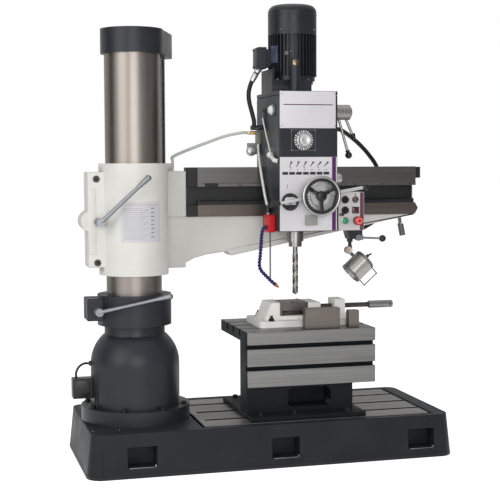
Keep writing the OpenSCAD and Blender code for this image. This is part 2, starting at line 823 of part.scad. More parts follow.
module speed_dial() {
    color(bright) {
        rod_y(casting_front - gap - 12, casting_front - gap, dial_x, dial_z, dial_r);
        rod_y(casting_front - 35, casting_front - 12, dial_x, dial_z, 27);
        rod_y(casting_front - 12, casting_front + head_wall, dial_x, dial_z, dial_shaft_r);
    }
}

fin_count = 40;

module motor_housing() {
    shield = 12;
    color(paint) difference() {
        union() {
            rod_z(mount_top, motor_top, motor_x, motor_y, motor_core_r);
            translate([motor_x, motor_y, mount_top + 20]) linear_extrude(motor_l - 34)
                for (i = [0:fin_count - 1]) rotate(i * 360 / fin_count)
                    translate([motor_core_r - 2, -2]) square([motor_r - motor_core_r + 2, 4]);
            rod_z(mount_top, mount_top + 20, motor_x, motor_y, motor_core_r + 8);
            rod_z(motor_top - 14, motor_top, motor_x, motor_y, motor_r - 3 - fit);
        }
        rod_z(mount_top + shield, motor_top - shield, motor_x, motor_y, motor_core_r - 22);
        rod_z(mount_top - 1, motor_top + 1, motor_x, motor_y, shaft_r + fit);
    }
}

module fan_cover_outline(r, h, round_r) {
    square([r, h - round_r]);
    square([r - round_r, h]);
    translate([r - round_r, h - round_r]) circle(round_r);
}

module fan_cover() {
    wall = 3;
    color(paint) translate([motor_x, motor_y, motor_top - 14]) difference() {
        rotate_extrude() intersection() {
            fan_cover_outline(motor_r, fan_l + 14, 34);
            square([motor_r, fan_l + 14]);
        }
        rotate_extrude() intersection() {
            translate([0, -1]) fan_cover_outline(motor_r - wall, fan_l + 15 - wall, 31);
            translate([0, -1]) square([motor_r, fan_l + 14]);
        }
        for (i = [0:11]) rotate(i * 30) translate([32, -5, fan_l]) cube([34, 10, 30]);
    }
}

module motor_rotor() {
    color(bright) {
        rod_z(gear_z, motor_top + 72, motor_x, motor_y, shaft_r);
        rod_z(mount_top + 36, motor_top - 34, motor_x, motor_y, motor_core_r - 24);
        rod_z(motor_top + 24, motor_top + 66, motor_x, motor_y, 26);
        for (i = [0:7]) translate([motor_x, motor_y, motor_top + 24]) rotate(i * 45)
            translate([20, -2, 0]) cube([motor_r - 34, 4, 40]);
        translate([motor_x, motor_y, gear_z]) linear_extrude(gear_h) gear_outline(motor_pinion_r, 24);
    }
}

module terminal_box() {
    color(paint) difference() {
        union() {
            block(terminal_x, terminal_x + 42, motor_y - 40, motor_y + 40, terminal_z, terminal_z + 98);
            block(terminal_x + 41, motor_x - motor_core_r, motor_y - 30, motor_y + 30, terminal_z + 9,
                terminal_z + 89);
            rod([613, 150, terminal_z + 10], [594, 150, terminal_z - 21], 13);
        }
        rod_z(terminal_z - 20, terminal_z + 120, motor_x, motor_y, motor_r + fit);
    }
}

module spindle_tube() {
    cap_at = cover_top + 122;
    color(paint) difference() {
        union() {
            rod_z(cover_top, cap_at, spindle_x, 0, tube_r);
            rod_z(cap_at, cap_at + 34, spindle_x, 0, 16);
        }
        rod_z(cover_top - 1, cap_at - 4, spindle_x, 0, tube_r - 4);
    }
}

hub_low = chamber_z + gap;

module bull_gear() {
    color(steel) difference() {
        union() {
            translate([spindle_x, 0, gear_z]) linear_extrude(gear_h) gear_outline(bull_gear_r, 50);
            rod_z(hub_low, gear_z + gear_h + 10, spindle_x, 0, 34);
        }
        rod_z(hub_low - 1, gear_z + gear_h + 20, spindle_x, 0, spline_r + fit);
        rod_z(hub_low - 1, hub_low + 40, spindle_x, 0, spindle_r + 6);
    }
}

module quill() {
    rack_pitch = PI * feed_pinion_r / 8;
    rack_teeth = floor((quill_top - quill_low - 60) / rack_pitch);
    bearing_h = 24;
    color(bright) {
        difference() {
            rod_z(quill_low, quill_top, spindle_x, 0, quill_r);
            rod_z(quill_low - 1, quill_top + 1, spindle_x, 0, quill_bore_r);
            block(spindle_x + quill_rack_x, spindle_x + quill_d, -quill_r, quill_r, quill_low + 40,
                quill_top + 1);
            for (i = [0:rack_teeth - 1])
                block(spindle_x + quill_rack_x - 3, spindle_x + quill_d, -quill_r, quill_r,
                quill_low + 44 + i * rack_pitch, quill_low + 44 + (i + 0.5) * rack_pitch);
        }
        for (z = [quill_low + 4, quill_top - bearing_h - 4]) translate([spindle_x, 0, 0])
            ring_z(z, z + bearing_h, quill_bore_r - 0.02, spindle_r + fit);
    }
}

shank_r = 11;
shank_l = 90;

module spindle() {
    color(bright) difference() {
        union() {
            rod_z(quill_low - nose_h, quill_low - gap, spindle_x, 0, nose_r);
            rod_z(quill_low - gap, quill_top + 20, spindle_x, 0, spindle_r);
            rod_z(quill_top + 20, spindle_top, spindle_x, 0, spline_r);
        }
        rod_z(drill_top - 1, drill_top + shank_l, spindle_x, 0, shank_r);
    }
}

module drill_bit() {
    drill_r = drill_d / 2;
    flute_r = drill_r * 0.62;
    point_h = drill_r * 0.6;
    turns = 2;
    tip = drill_top - drill_l;
    color(steel) {
        rod_z(drill_top - 30, drill_top + shank_l - 6, spindle_x, 0, shank_r - 0.02);
        difference() {
            translate([spindle_x, 0, tip])
                linear_extrude(drill_l - 24, twist = -360 * turns, slices = 32) difference() {
                circle(drill_r, $fn = 16);
                for (s = [-1, 1]) translate([s * drill_r * 0.86, 0]) circle(flute_r, $fn = 12);
            }
            translate([spindle_x, 0, tip]) rotate_extrude()
                polygon([[0, 0], [drill_d, 2 * point_h], [drill_d, -1], [0, -1]]);
        }
    }
}

// Feed and traverse drives

module feed_hub() {
    tilt = 9.6;
    short_l = feed_lever_l - 7;
    arm = [cos(tilt), 0, sin(tilt)];
    centre = [feed_x, lever_y, feed_z];
    color(steel) difference() {
        union() {
            rod_y(hub_y - 62, hub_y - 3, feed_x, feed_z, 42);
            rod_y(hub_y - 35, hub_y - 15, feed_x, feed_z, 74);
            rod_y(hub_y - 3, 30, feed_x, feed_z, feed_tube_r);
            translate([feed_x, 22, feed_z]) rotate([90, 0, 0]) linear_extrude(44)
                gear_outline(feed_pinion_r, 15);
            rod(centre, centre - arm * feed_lever_l, 7);
            rod(centre - arm * (feed_lever_l - 40), centre - arm * feed_lever_l, 11);
            rod(centre, centre + arm * short_l, 7);
            translate(centre + arm * short_l) sphere(14);
        }
        rod_y(hub_y - 63, 40, feed_x, feed_z, traverse_r + fit);
    }
}

module handwheel() {
    rim_r = 9;
    color(bright) {
        translate([feed_x, wheel_y, feed_z]) rotate([90, 0, 0]) rotate_extrude()
            translate([wheel_d / 2 - rim_r, 0]) circle(rim_r);
        rod_y(wheel_y - 14, hub_y - 62 - gap, feed_x, feed_z, 24);
        for (a = [30, 150, 270]) rod([feed_x, wheel_y, feed_z],
            [feed_x + (wheel_d / 2 - rim_r) * cos(a), wheel_y, feed_z + (wheel_d / 2 - rim_r) * sin(a)], 8);
        rod_y(wheel_y, way_y + 22, feed_x, feed_z, traverse_r);
        translate([feed_x, way_y + 22, feed_z]) rotate([90, 0, 0]) linear_extrude(19)
            gear_outline(rack_pinion_r, 16);
    }
}

// A gear lever: a ring on the hub's shaft and a rod that hangs from it
module gear_lever(x, w, reach, lean, ball_r) {
    centre = [x + w / 2, gear_hub_y, gear_hub_z];
    end = centre + [lean, 0, -reach];
    color(bright) difference() {
        union() {
            rod_x(x, x + w, gear_hub_y, gear_hub_z, gear_hub_r);
            rod(centre - [0, 0, gear_hub_r - 6], end, 6);
            translate(end) sphere(ball_r);
        }
        rod_x(x - 1, x + w + 1, gear_hub_y, gear_hub_z, gear_shaft_r + fit);
    }
}

module gear_lever_long() { gear_lever(head_x1 + 14 + gap, 33, 190, 48, 15); }

module gear_lever_short() { gear_lever(head_x1 + 47 + 2 * gap, 33, 112, 38, 9); }

// Control box and lamp

panel_left = head_x1 + 41;
panel_right = head_x1 + 90;
button_r = 11;
stop_r = 9;
selector_r = 4;
lever_boss_x = head_x1 + 101;
lever_boss_z = head_z - 32;
lamp_stem_r = 8;
row_1 = head_z + 137;
row_2 = head_z + 90;
row_3 = head_z + 43;

module control_box() {
    z1 = head_z + box_h;
    color(panel) difference() {
        union() {
            block(head_x1, box_x1, box_front, box_back, head_z, z1);
            rod_y(box_front - 8, box_front, panel_right, row_1, 11);
            block(panel_right - 13, panel_right + 13, box_front - 5, box_front, row_2 - 12, row_2 + 12);
            xz_plate(-120, -60) polygon([[head_x1 + 54, head_z], [head_x1 + 66, head_z - bracket_h],
                [box_x1 - 3, head_z - bracket_h], [box_x1 - 3, head_z]]);
        }
        block(head_x1 + box_wall, box_x1 - box_wall, box_front + box_wall, box_back - box_wall,
            head_z + box_wall,
            z1 - box_wall);
        rod_y(box_front - 1, box_front + 10, panel_left, row_3, button_r + fit);
        rod_y(box_front - 1, box_front + 10, panel_right + 8, row_3, stop_r + fit);
        for (z = [row_1, row_2]) rod_y(box_front - 1, box_front + 10, panel_left, z, selector_r + fit);
        rod_y(-121, -90, lever_boss_x, lever_boss_z, 6 + fit);
        rod_z(head_z - bracket_h - 1, head_z - 12, lamp_x + 8, lamp_y, lamp_stem_r + fit);
    }
}

// A push button with the flange that keeps it in the box
module push_button(x, z, r, cap_r, cap_y0, cap_y1) {
    rod_y(cap_y0, cap_y1, x, z, cap_r);
    rod_y(cap_y1 - 1, box_front + 14, x, z, r);
    rod_y(box_front + box_wall + gap, box_front + 8, x, z, r + 3);
}

module start_button() {
    color(green) push_button(panel_left, row_3, button_r, button_r, box_front - 12, box_front - 2);
}

module stop_button() {
    color(red) push_button(panel_right + 8, row_3, stop_r, 19, box_front - 30, box_front - 14);
}

module selector(z) {
    color(black) {
        rod_y(box_front - 14, box_front - gap, panel_left, z, 14);
        block(panel_left - 4, panel_left + 4, box_front - 24, box_front - 13, z - 12, z + 12);
        rod_y(box_front - 14, box_front + 16, panel_left, z, selector_r);
    }
}

module selector_upper() { selector(row_1); }

module selector_lower() { selector(row_2); }

module spindle_lever() {
    y = -134;
    end = [head_x1 + 217, y, lever_boss_z - 6];
    color(bright) {
        rod_y(-146, -120 - gap, lever_boss_x, lever_boss_z, 14);
        rod_y(-121, -91, lever_boss_x, lever_boss_z, 6);
        rod([lever_boss_x, y, lever_boss_z], end, 5);
        rod([lever_boss_x, y, lever_boss_z], [lever_boss_x, y, lever_boss_z] * 0.8 + end * 0.2, 10);
        translate(end) sphere(15);
    }
}

lamp_pin_r = 5;

module lamp_arm() {
    low = head_z - bracket_h - gap;
    color(black) difference() {
        union() {
            rod_z(low - 40, head_z - 14, lamp_x + 8, lamp_y, lamp_stem_r);
            rod_z(low - 12, low, lamp_x + 8, lamp_y, 13);
            rod_y(lamp_y - 10, lamp_y - gap / 2, lamp_x, lamp_z, 16);
            block(lamp_x - 2, lamp_x + 16, lamp_y - 10, lamp_y - gap / 2, lamp_z, low - 30);
        }
        rod_y(lamp_y - 11, lamp_y + 1, lamp_x, lamp_z, lamp_pin_r + fit);
        block(lamp_x - 30, lamp_x + 40, lamp_y - gap / 2, lamp_y + 30, lamp_z - 30, lamp_z + 17);
    }
}

module lamp_head() {
    aim = [sin(lamp_aim), 0, cos(lamp_aim)];
    side = [cos(lamp_aim), 0, -sin(lamp_aim)];
    back = [lamp_x + 84, lamp_y, lamp_z - 42];
    wire = [for (p = [[5, 0], [5, 37], [84, 37], [84, 0]]) back + aim * p[0] - side * (lamp_r + p[1] - 1)];
    color(steel) {
        translate(back) rotate([0, lamp_aim, 0]) difference() {
            cylinder(h = lamp_l, r = lamp_r);
            translate([0, 0, 34]) cylinder(h = lamp_l, r = lamp_r - 3);
        }
        rod_y(lamp_y + gap / 2, lamp_y + 10, lamp_x, lamp_z, 16);
        rod_y(lamp_y - 10, lamp_y + 10, lamp_x, lamp_z, lamp_pin_r);
        translate([lamp_x, 0, lamp_z]) rotate([0, 45, 0]) block(0, 46, lamp_y + gap / 2, lamp_y + 10, -7, 7);
        for (i = [0:2]) rod(wire[i], wire[i + 1], 2.5);
        for (i = [1, 2]) translate(wire[i]) sphere(3.5);
    }
}

// Coolant

valve_z = head_top - 207;
knob_x = head_x - 43;
knob_z = valve_z - 33;

module coolant_valve() {
    color(steel) difference() {
        union() {
            block(head_x - 19, head_x, 148, 176, valve_z, valve_z + 54);
            block(knob_x - 14, head_x, 165, 180, knob_z - 15, valve_z + 4);
            rod_x(560, head_x - 18, 160, 1428, 7);
        }
        rod_y(164, 181, knob_x, knob_z, 5 + fit);
    }
}

module valve_knob() {
    color(steel) {
        rod_y(138, 165 - gap, knob_x, knob_z, 23);
        rod_y(160, 180, knob_x, knob_z, 5);
    }
}

coolant_block_z = head_z - 5;

module coolant_block() {
    color(red) block(head_x - 30, head_x, -88, 0, coolant_block_z, coolant_block_z + 77);
}

module coolant_lines() {
    color(white) {
        cord(curve(tube_route, 2), tube_d, 8);
        cord(curve(lube_route, 2), lube_d, 8);
        rod_x(head_x - 20, head_x, -43, 1324, 14);
    }
    color(steel) rod_z(780, coolant_block_z, head_x - 8, -30, 2.5);
}

module nozzle_hose() {
    tip = nozzle_route[len(nozzle_route) - 1];
    color(blue) ribbed_hose(curve(nozzle_route, 4), nozzle_d, 2.5, nozzle_bore, 8);
    color(red) translate(tip) rotate([0, 118, 0]) rotate_extrude()
        polygon([[nozzle_bore / 2, 0], [nozzle_d / 2, 0], [5, 20], [3.4, 20]]);
}

module coolant_hose() { color(white) cord(curve(hose_route, 2), hose_d, 10); }

module motor_cable() { color(black) cord(curve(motor_route, 1), motor_cable_d, 12); }

module head_conduit() { color(black) cord(curve(conduit_route, 1), conduit_d, 12); }

module junction_cable() { color(black) cord(curve(junction_route, 1), junction_d, 10); }

module junction_box() {
    color(black) difference() {
        block(-276, -bell_r + 8, -32, 32, 280, 367);
        cylinder_at(200, 500, bell_r + fit);
    }
}

// Table, vise and loose blocks

table_slots_z = [table_top - 66, table_top - 160];
table_bolt_d = 20;
table_bolt_places = [[table_x + 44, table_y0 - 46], [table_x + 197, table_y0 - 46],
    [table_x + 440, table_y0 - 46], [table_x + 44, table_y1 - 90], [table_x + 440, table_y1 - 90]];
foot_y0 = table_y0 - 82;
foot_y1 = table_y1 - 54;
window_x = table_x + 186;
window_w = 200;
window_h = 85;
window_z = base_h + 39;
vise_bolt_places = [for (i = [0, 2]) [vise_x + 58, table_slots_y[i]]];

module table_body() {
    block(table_x, table_x1, table_y0, table_y1, table_top - table_t, table_top);
    block(table_x, table_x1, table_y0, table_y0 + wall_t, face_z, table_top);
    block(table_x, table_x + 486, table_y0 + 12, table_y0 + wall_t, base_h, face_z + 1);
    block(foot_x0, foot_x1, foot_y0, foot_y1, base_h, base_h + foot_t);
    xz_rib();
}

module xz_rib() {
    x = table_x + table_w / 2;
    translate([x - 20, 0, 0]) rotate([90, 0, 90]) linear_extrude(40) polygon([
        [table_y0 + wall_t - 1, base_h + 2], [foot_y1 - 40, base_h + 2], [foot_y1 - 40, base_h + 40],
        [table_y0 + wall_t + 60, base_h + 150],
        [table_y0 + wall_t + 60, table_top - table_t - 120], [table_y1 - 60, table_top - table_t - 20],
        [table_y1 - 60, table_top - table_t + 1], [table_y0 + wall_t - 1, table_top - table_t + 1]]);
}

module work_table() {
    color(steel) difference() {
        table_body();
        for (y = table_slots_y) translate([table_x - 1, y, table_top]) rotate([90, 0, 90])
            linear_extrude(table_w + 2) t_slot_section(table_slot_w, 30);
        for (z = table_slots_z) translate([table_x - 1, table_y0, z]) rotate([90, 0, 90])
            linear_extrude(table_w + 2) rotate(90) t_slot_section(table_slot_w, 30);
        translate([window_x, 0, window_z]) xz_plate(table_y0 - 10, table_y0 + wall_t - 14)
            rounded_square(window_w, window_h, 22);
        for (p = table_bolt_places) rod_z(base_h - 1, base_h + foot_t + 1, p[0], p[1], table_bolt_d / 2);
    }
}

module table_bolts() {
    color(black) {
        for (p = table_bolt_places) translate([p[0], p[1], base_h + foot_t])
            bolt(table_bolt_d - 2 * fit, foot_t + 40, 30, 13);
        for (p = vise_bolt_places) translate([p[0], p[1], table_top + vise_flange_h]) bolt(12, 44, 20, 22);
    }
}

module vise_body() {
    x1 = vise_x + 455;
    half = table_slot_pitch + 20;
    end_x = vise_x + 376;
    color(cream) difference() {
        union() {
            translate([vise_x, vise_mid - half, table_top]) linear_extrude(vise_flange_h)
                rounded_square(x1 - vise_x, 2 * half, 30);
            block(vise_x + 38, x1 - 16, vise_y0, vise_y1, table_top + 1, bed_z);
            xz_plate(vise_y0, vise_y1) polygon([[vise_x + 44, bed_z - 1], [fixed_jaw_x - 40, jaw_top],
                [fixed_jaw_x, jaw_top], [fixed_jaw_x, bed_z - 1]]);
            block(end_x, end_x + 50, vise_mid - 50, vise_mid + 50, bed_z - 1, jaw_top + 5);
        }
        block(fixed_jaw_x, end_x, vise_mid - rail_slot / 2, vise_mid + rail_slot / 2, table_top - 1,
            bed_z + 1);
        rod_x(end_x - 1, end_x + 51, vise_mid, vise_screw_z, vise_screw_r + fit);
        for (p = vise_bolt_places)
            rod_z(table_top - 1, table_top + vise_flange_h + 1, p[0], p[1], 6 + fit);
    }
    color(way_grey) block(fixed_jaw_x, fixed_jaw_x + plate_t, vise_y0, vise_y1, bed_z + gap, jaw_top);
}

module vise_moving_jaw() {
    color(cream) difference() {
        union() {
            block(jaw_x + plate_t, jaw_back, vise_y0, vise_y1, bed_z + gap, jaw_top - 3);
            block(jaw_x + plate_t, jaw_back, vise_mid - rail_slot / 2 + gap, vise_mid + rail_slot / 2 - gap,
                table_top + 10, bed_z + 1);
        }
        rod_x(jaw_back - 26, jaw_back + 1, vise_mid, vise_screw_z, 8 + fit);
    }
    color(way_grey) block(jaw_x, jaw_x + plate_t, vise_y0, vise_y1, bed_z + gap, jaw_top);
}

module vise_screw() {
    color(way_grey) {
        rod_x(jaw_back - 24, jaw_back + 1, vise_mid, vise_screw_z, 8);
        rod_x(jaw_back + gap, vise_end - 114, vise_mid, vise_screw_z, vise_screw_r);
    }
    color(steel) difference() {
        rod_x(vise_end - 115, vise_end, vise_mid, vise_screw_z, 17);
        rod_y(vise_mid - 40, vise_mid + 40, vise_end - 14, vise_screw_z, 6);
    }
}

// Two loose blocks on the table, and the bored block that the vise grips with the strips under it
module setup_blocks() {
    y = table_y0 + 32;
    strip_h = 22;
    strip_t = 14;
    work_x = fixed_jaw_x + plate_t + gap;
    work_bore_r = drill_d / 2 + 10;
    color(way_grey) {
        block(table_x + 274, table_x + 434, y, y + 45, table_top, table_top + 90);
        block(table_x + 476, table_x + 524, y, y + 40, table_top, table_top + 76);
        difference() {
            block(work_x, jaw_x - gap, vise_y0 + 1, vise_y1 - 1, bed_z + strip_h, jaw_top - 2);
            rod_z(bed_z, jaw_top, spindle_x, 0, work_bore_r);
        }
        for (strip_y = [work_bore_r + 1, vise_y1 - 35]) block(work_x + 4, jaw_x - 4, strip_y,
            strip_y + strip_t, bed_z, bed_z + strip_h + 1);
    }
}

base_plate();
column_pedestal();
pedestal_bolts();
inner_post();
column_bearings();
clamp_collar();
junction_box();
junction_cable();
work_table();
table_bolts();
vise_body();
setup_blocks();
column_clamp_lever();
vise_moving_jaw();
vise_screw();
column_tube();
column_cap();
lift_motor();
lift_screw();
arm_casting();
upper_way();
lower_way();
traverse_rack();
way_end_guards();
arm_handle();
lift_nut();
arm_clamp_lever();
coolant_hose();
head_casting();
head_cover();
feed_panel();
motor_housing();
fan_cover();
terminal_box();
motor_cable();
spindle_tube();
control_box();
coolant_valve();
coolant_lines();
coolant_block();
nozzle_hose();
head_conduit();
motor_rotor();
bull_gear();
quill();
spindle();
drill_bit();
feed_hub();
handwheel();
speed_dial();
gear_lever_long();
gear_lever_short();
valve_knob();
start_button();
stop_button();
selector_upper();
selector_lower();
spindle_lever();
lamp_arm();
lamp_head();
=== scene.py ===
"""Dresses the radial arm drill: finishes, detailed trim, cords, studio and camera."""

from __future__ import annotations

import json
import logging
import math
from dataclasses import dataclass
from enum import Enum
from functools import cache
from typing import Iterable, Sequence

import bmesh
import bpy
from mathutils import Matrix, Vector

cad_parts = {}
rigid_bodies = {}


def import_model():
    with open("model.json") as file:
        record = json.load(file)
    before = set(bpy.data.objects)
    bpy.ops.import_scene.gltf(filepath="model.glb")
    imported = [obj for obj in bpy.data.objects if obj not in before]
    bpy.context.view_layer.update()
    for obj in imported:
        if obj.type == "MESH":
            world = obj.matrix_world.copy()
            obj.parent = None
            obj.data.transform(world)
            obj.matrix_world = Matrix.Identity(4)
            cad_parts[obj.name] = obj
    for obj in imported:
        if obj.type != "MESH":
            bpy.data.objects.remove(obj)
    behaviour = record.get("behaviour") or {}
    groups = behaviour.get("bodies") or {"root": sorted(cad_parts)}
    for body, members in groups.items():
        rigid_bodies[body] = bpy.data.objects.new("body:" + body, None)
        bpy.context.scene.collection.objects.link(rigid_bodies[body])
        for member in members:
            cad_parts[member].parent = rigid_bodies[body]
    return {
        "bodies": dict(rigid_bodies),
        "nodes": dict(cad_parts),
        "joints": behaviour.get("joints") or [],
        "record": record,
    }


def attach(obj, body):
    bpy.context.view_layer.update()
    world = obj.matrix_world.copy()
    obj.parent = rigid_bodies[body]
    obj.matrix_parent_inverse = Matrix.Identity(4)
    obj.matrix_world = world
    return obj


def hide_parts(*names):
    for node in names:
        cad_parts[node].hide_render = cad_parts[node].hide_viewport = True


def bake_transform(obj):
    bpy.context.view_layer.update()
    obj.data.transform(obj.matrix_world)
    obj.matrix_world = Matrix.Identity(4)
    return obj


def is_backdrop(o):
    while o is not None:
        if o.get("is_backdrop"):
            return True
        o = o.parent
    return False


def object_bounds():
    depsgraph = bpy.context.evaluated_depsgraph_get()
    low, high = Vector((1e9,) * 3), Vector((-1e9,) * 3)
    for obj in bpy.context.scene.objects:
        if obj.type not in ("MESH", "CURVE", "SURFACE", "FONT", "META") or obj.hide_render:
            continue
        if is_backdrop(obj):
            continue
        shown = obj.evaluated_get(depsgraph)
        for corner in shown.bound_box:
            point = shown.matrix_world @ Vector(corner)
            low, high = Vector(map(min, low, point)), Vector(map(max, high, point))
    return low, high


LOG = logging.getLogger("radial_drill")
Pair = tuple[float, float]
Point = tuple[float, float, float]

# Metres in a millimetre and millimetres in a metre
MM = 0.001
PER_METRE = 1000.0
# Depth of a finish's bump in metres, and the roughness of its clear coat
BUMP_DEPTH = 0.0006
COAT_ROUGHNESS = 0.15
# Cells per metre of the paint's clouds, and the scale of the broad tool marks beside the fine ones
CLOUD_SCALE = 7.0
BROAD_MARKS = 0.16
# The part of the noise that is spread over the whole tone, and the swing of the roughness with it
UNIT_RANGE = (0.0, 1.0)
TONE_RANGE = (0.3, 0.7)
ROUGHNESS_SWING = (0.85, 1.2)
# A casting's faces that meet flatter than this are joined
FLAT_ANGLE = math.radians(0.6)
# Its edges between these angles and longer than this many millimetres are rounded
ROUNDED_ANGLES = (math.radians(40), math.radians(140))
SHORTEST_EDGE = 16.0
# Edges flatter than this are shaded smooth
SMOOTH_ANGLE = math.radians(38)


class Body(str, Enum):
    """The moving groups that a piece can ride on."""

    BASE = "base"
    COLUMN = "column"
    SCREW = "lift_screw"
    ARM = "arm"
    HEAD = "head"
    FEED = "feed_hub"
    WHEEL = "handwheel"
    DIAL = "speed_dial"
    GEAR_LONG = "gear_lever_long"
    GEAR_SHORT = "gear_lever_short"
    VALVE = "valve_knob"
    STOP = "stop_button"
    START = "start_button"
    SWITCH = "spindle_lever"
    LAMP = "lamp_head"
    VISE_JAW = "vise_moving_jaw"


class Axis(Enum):
    """Directions that a turned shape can point along."""

    RIGHT = Vector((1.0, 0.0, 0.0))
    BACK = Vector((0.0, 1.0, 0.0))
    UP = Vector((0.0, 0.0, 1.0))
    LEFT = -RIGHT
    FRONT = -BACK


class Socket(Enum):
    """Kinds of sockets that a node group can have."""

    NUMBER = "NodeSocketFloat"
    VECTOR = "NodeSocketVector"


def mm(point: Sequence[float]) -> Vector:
    """Turns a point in millimetres into a vector in metres."""
    return Vector(point) * MM


def around(count: int, first: float = 0.0) -> list[Pair]:
    """Returns cosine and sine of angles spread round a circle, the first in degrees."""
    angles = [math.radians(first) + math.tau * k / count for k in range(count)]
    return [(math.cos(a), math.sin(a)) for a in angles]


class Graph:
    """Adds and links nodes in one node tree."""

    def __init__(self, tree: bpy.types.NodeTree) -> None:
        """Keeps the tree that is filled."""
        self.tree = tree

    def node(self, kind: str, inputs: dict[str, object] | None = None,
             **settings: object) -> bpy.types.Node:
        """Adds a node.

        Args:
            kind: The node's type name.
            inputs: Values or sockets for its inputs, by name.
            settings: Attributes to set on it.

        Returns:
            The new node.
        """
        made = self.tree.nodes.new(kind)
        for key, value in settings.items():
            setattr(made, key, value)
        self.fill(made, inputs or {})
        return made

    def fill(self, node: bpy.types.Node, inputs: dict[str, object]) -> None:
        """Feeds values or sockets to the inputs of a node, by their names."""
        for label, value in inputs.items():
            self.feed(node.inputs[label], value)

    def feed(self, socket: bpy.types.NodeSocket, source: object) -> None:
        """Links an output to a socket, or sets the socket to a constant.

        Args:
            socket: The input socket.
            source: An output socket or a value.
        """
        if isinstance(source, bpy.types.NodeSocket):
            self.tree.links.new(source, socket)
        else:
            socket.default_value = source

    def math(self, operation: str, *values: object) -> bpy.types.NodeSocket:
        """Adds a math node.

        Args:
            operation: The operation's name.
            values: Its values or sockets, in order.

        Returns:
            The result socket.
        """
        made = self.node("ShaderNodeMath", operation=operation)
        for socket, value in zip(made.inputs, values):
            self.feed(socket, value)
        return made.outputs[0]

    def mix(self, factor: object, a: object, b: object,
            colour: bool = True) -> bpy.types.NodeSocket:
        """Mixes two colours or two numbers.

        Args:
            factor: The share of b.
            a: The first colour or number.
            b: The second colour or number.
            colour: Whether a and b are colours.

        Returns:
            The mixed socket.
        """
        made = self.node("ShaderNodeMix", data_type="RGBA" if colour else "FLOAT")
        kind = "RGBA" if colour else "VALUE"
        ins = [s for s in made.inputs if s.type == kind and s.name in ("A", "B")]
        self.feed(made.inputs[0], factor)
        for socket, value in zip(ins, (a, b)):
            if colour and not isinstance(value, bpy.types.NodeSocket):
                value = (*value, 1.0)
            self.feed(socket, value)
        return next(s for s in made.outputs if s.type == kind)

    def remap(self, value: object, source: Pair, target: Pair) -> bpy.types.NodeSocket:
        """Spreads a value from one range over another.

        Args:
            value: The value or socket.
            source: The range that it comes from.
            target: The range that it is spread over.

        Returns:
            The result socket.
        """
        made = self.node("ShaderNodeMapRange", {
            "Value": value, "From Min": source[0], "From Max": source[1], "To Min": target[0],
            "To Max": target[1]})
        return made.outputs["Result"]


class Effects:
    """Builds the shader node groups that several finishes share."""

    @staticmethod
    def start(name: str, ins: dict[str, Socket],
              outs: dict[str, Socket]) -> tuple[Graph, bpy.types.Node, bpy.types.Node]:
        """Starts a group with named sockets.

        Args:
            name: The group's name.
            ins: Input names and kinds.
            outs: Output names and kinds.

        Returns:
            The graph, the group's input node and its output node.
        """
        tree = bpy.data.node_groups.new(name, "ShaderNodeTree")
        for way, sockets in (("INPUT", ins), ("OUTPUT", outs)):
            for label, kind in sockets.items():
                tree.interface.new_socket(name=label, in_out=way, socket_type=kind.value)
        graph = Graph(tree)
        return graph, graph.node("NodeGroupInput"), graph.node("NodeGroupOutput")

    @staticmethod
    @cache
    def peel() -> bpy.types.NodeTree:
        """Returns the paint's orange peel and cloudy tone."""
        g, start, end = Effects.start(
            "Paint peel", {"Vector": Socket.VECTOR, "Scale": Socket.NUMBER},
            {"Height": Socket.NUMBER, "Cloud": Socket.NUMBER})
        where, scale = start.outputs["Vector"], start.outputs["Scale"]
        fine = g.node("ShaderNodeTexNoise", {"Vector": where, "Scale": scale, "Detail": 2.0})
        broad = g.node("ShaderNodeTexNoise", {"Vector": where, "Scale": CLOUD_SCALE, "Detail": 5.0})
        g.fill(end, {"Height": fine.outputs["Fac"], "Cloud": broad.outputs["Fac"]})
        return g.tree

    @staticmethod
    @cache
    def marks() -> bpy.types.NodeTree:
        """Returns tool marks drawn out along one direction by the vector's own scale."""
        g, start, end = Effects.start(
            "Tool marks", {"Vector": Socket.VECTOR, "Broad": Socket.NUMBER},
            {"Tone": Socket.NUMBER, "Height": Socket.NUMBER})
        where = start.outputs["Vector"]
        fine = g.node("ShaderNodeTexNoise", {
            "Vector": where, "Scale": 1.0, "Detail": 6.0, "Roughness": 0.62}).outputs["Fac"]
        shrunk = g.node("ShaderNodeVectorMath", {"Scale": start.outputs["Broad"]},
                        operation="SCALE")
        g.feed(shrunk.inputs[0], where)
        broad = g.node("ShaderNodeTexNoise", {
            "Vector": shrunk.outputs["Vector"], "Scale": 1.0, "Detail": 3.0}).outputs["Fac"]
        tone = g.math("MULTIPLY_ADD", fine, 0.5, g.math("MULTIPLY", broad, 0.5))
        g.fill(end, {"Tone": tone, "Height": fine})
        return g.tree

    @staticmethod
    @cache
    def region() -> bpy.types.NodeTree:
        """Returns a mask that is 1 inside a box."""
        labels = ("Vector", "Low", "High")
        g, start, end = Effects.start(
            "Box region", dict.fromkeys(labels, Socket.VECTOR), {"Mask": Socket.NUMBER})
        at, low, high = (
            g.node("ShaderNodeSeparateXYZ", {"Vector": start.outputs[label]}).outputs
            for label in labels)
        mask: object = 1.0
        for k in range(3):
            above = g.math("GREATER_THAN", at[k], low[k])
            below = g.math("LESS_THAN", at[k], high[k])
            mask = g.math("MULTIPLY", mask, g.math("MULTIPLY", above, below))
        g.fill(end, {"Mask": mask})
        return g.tree


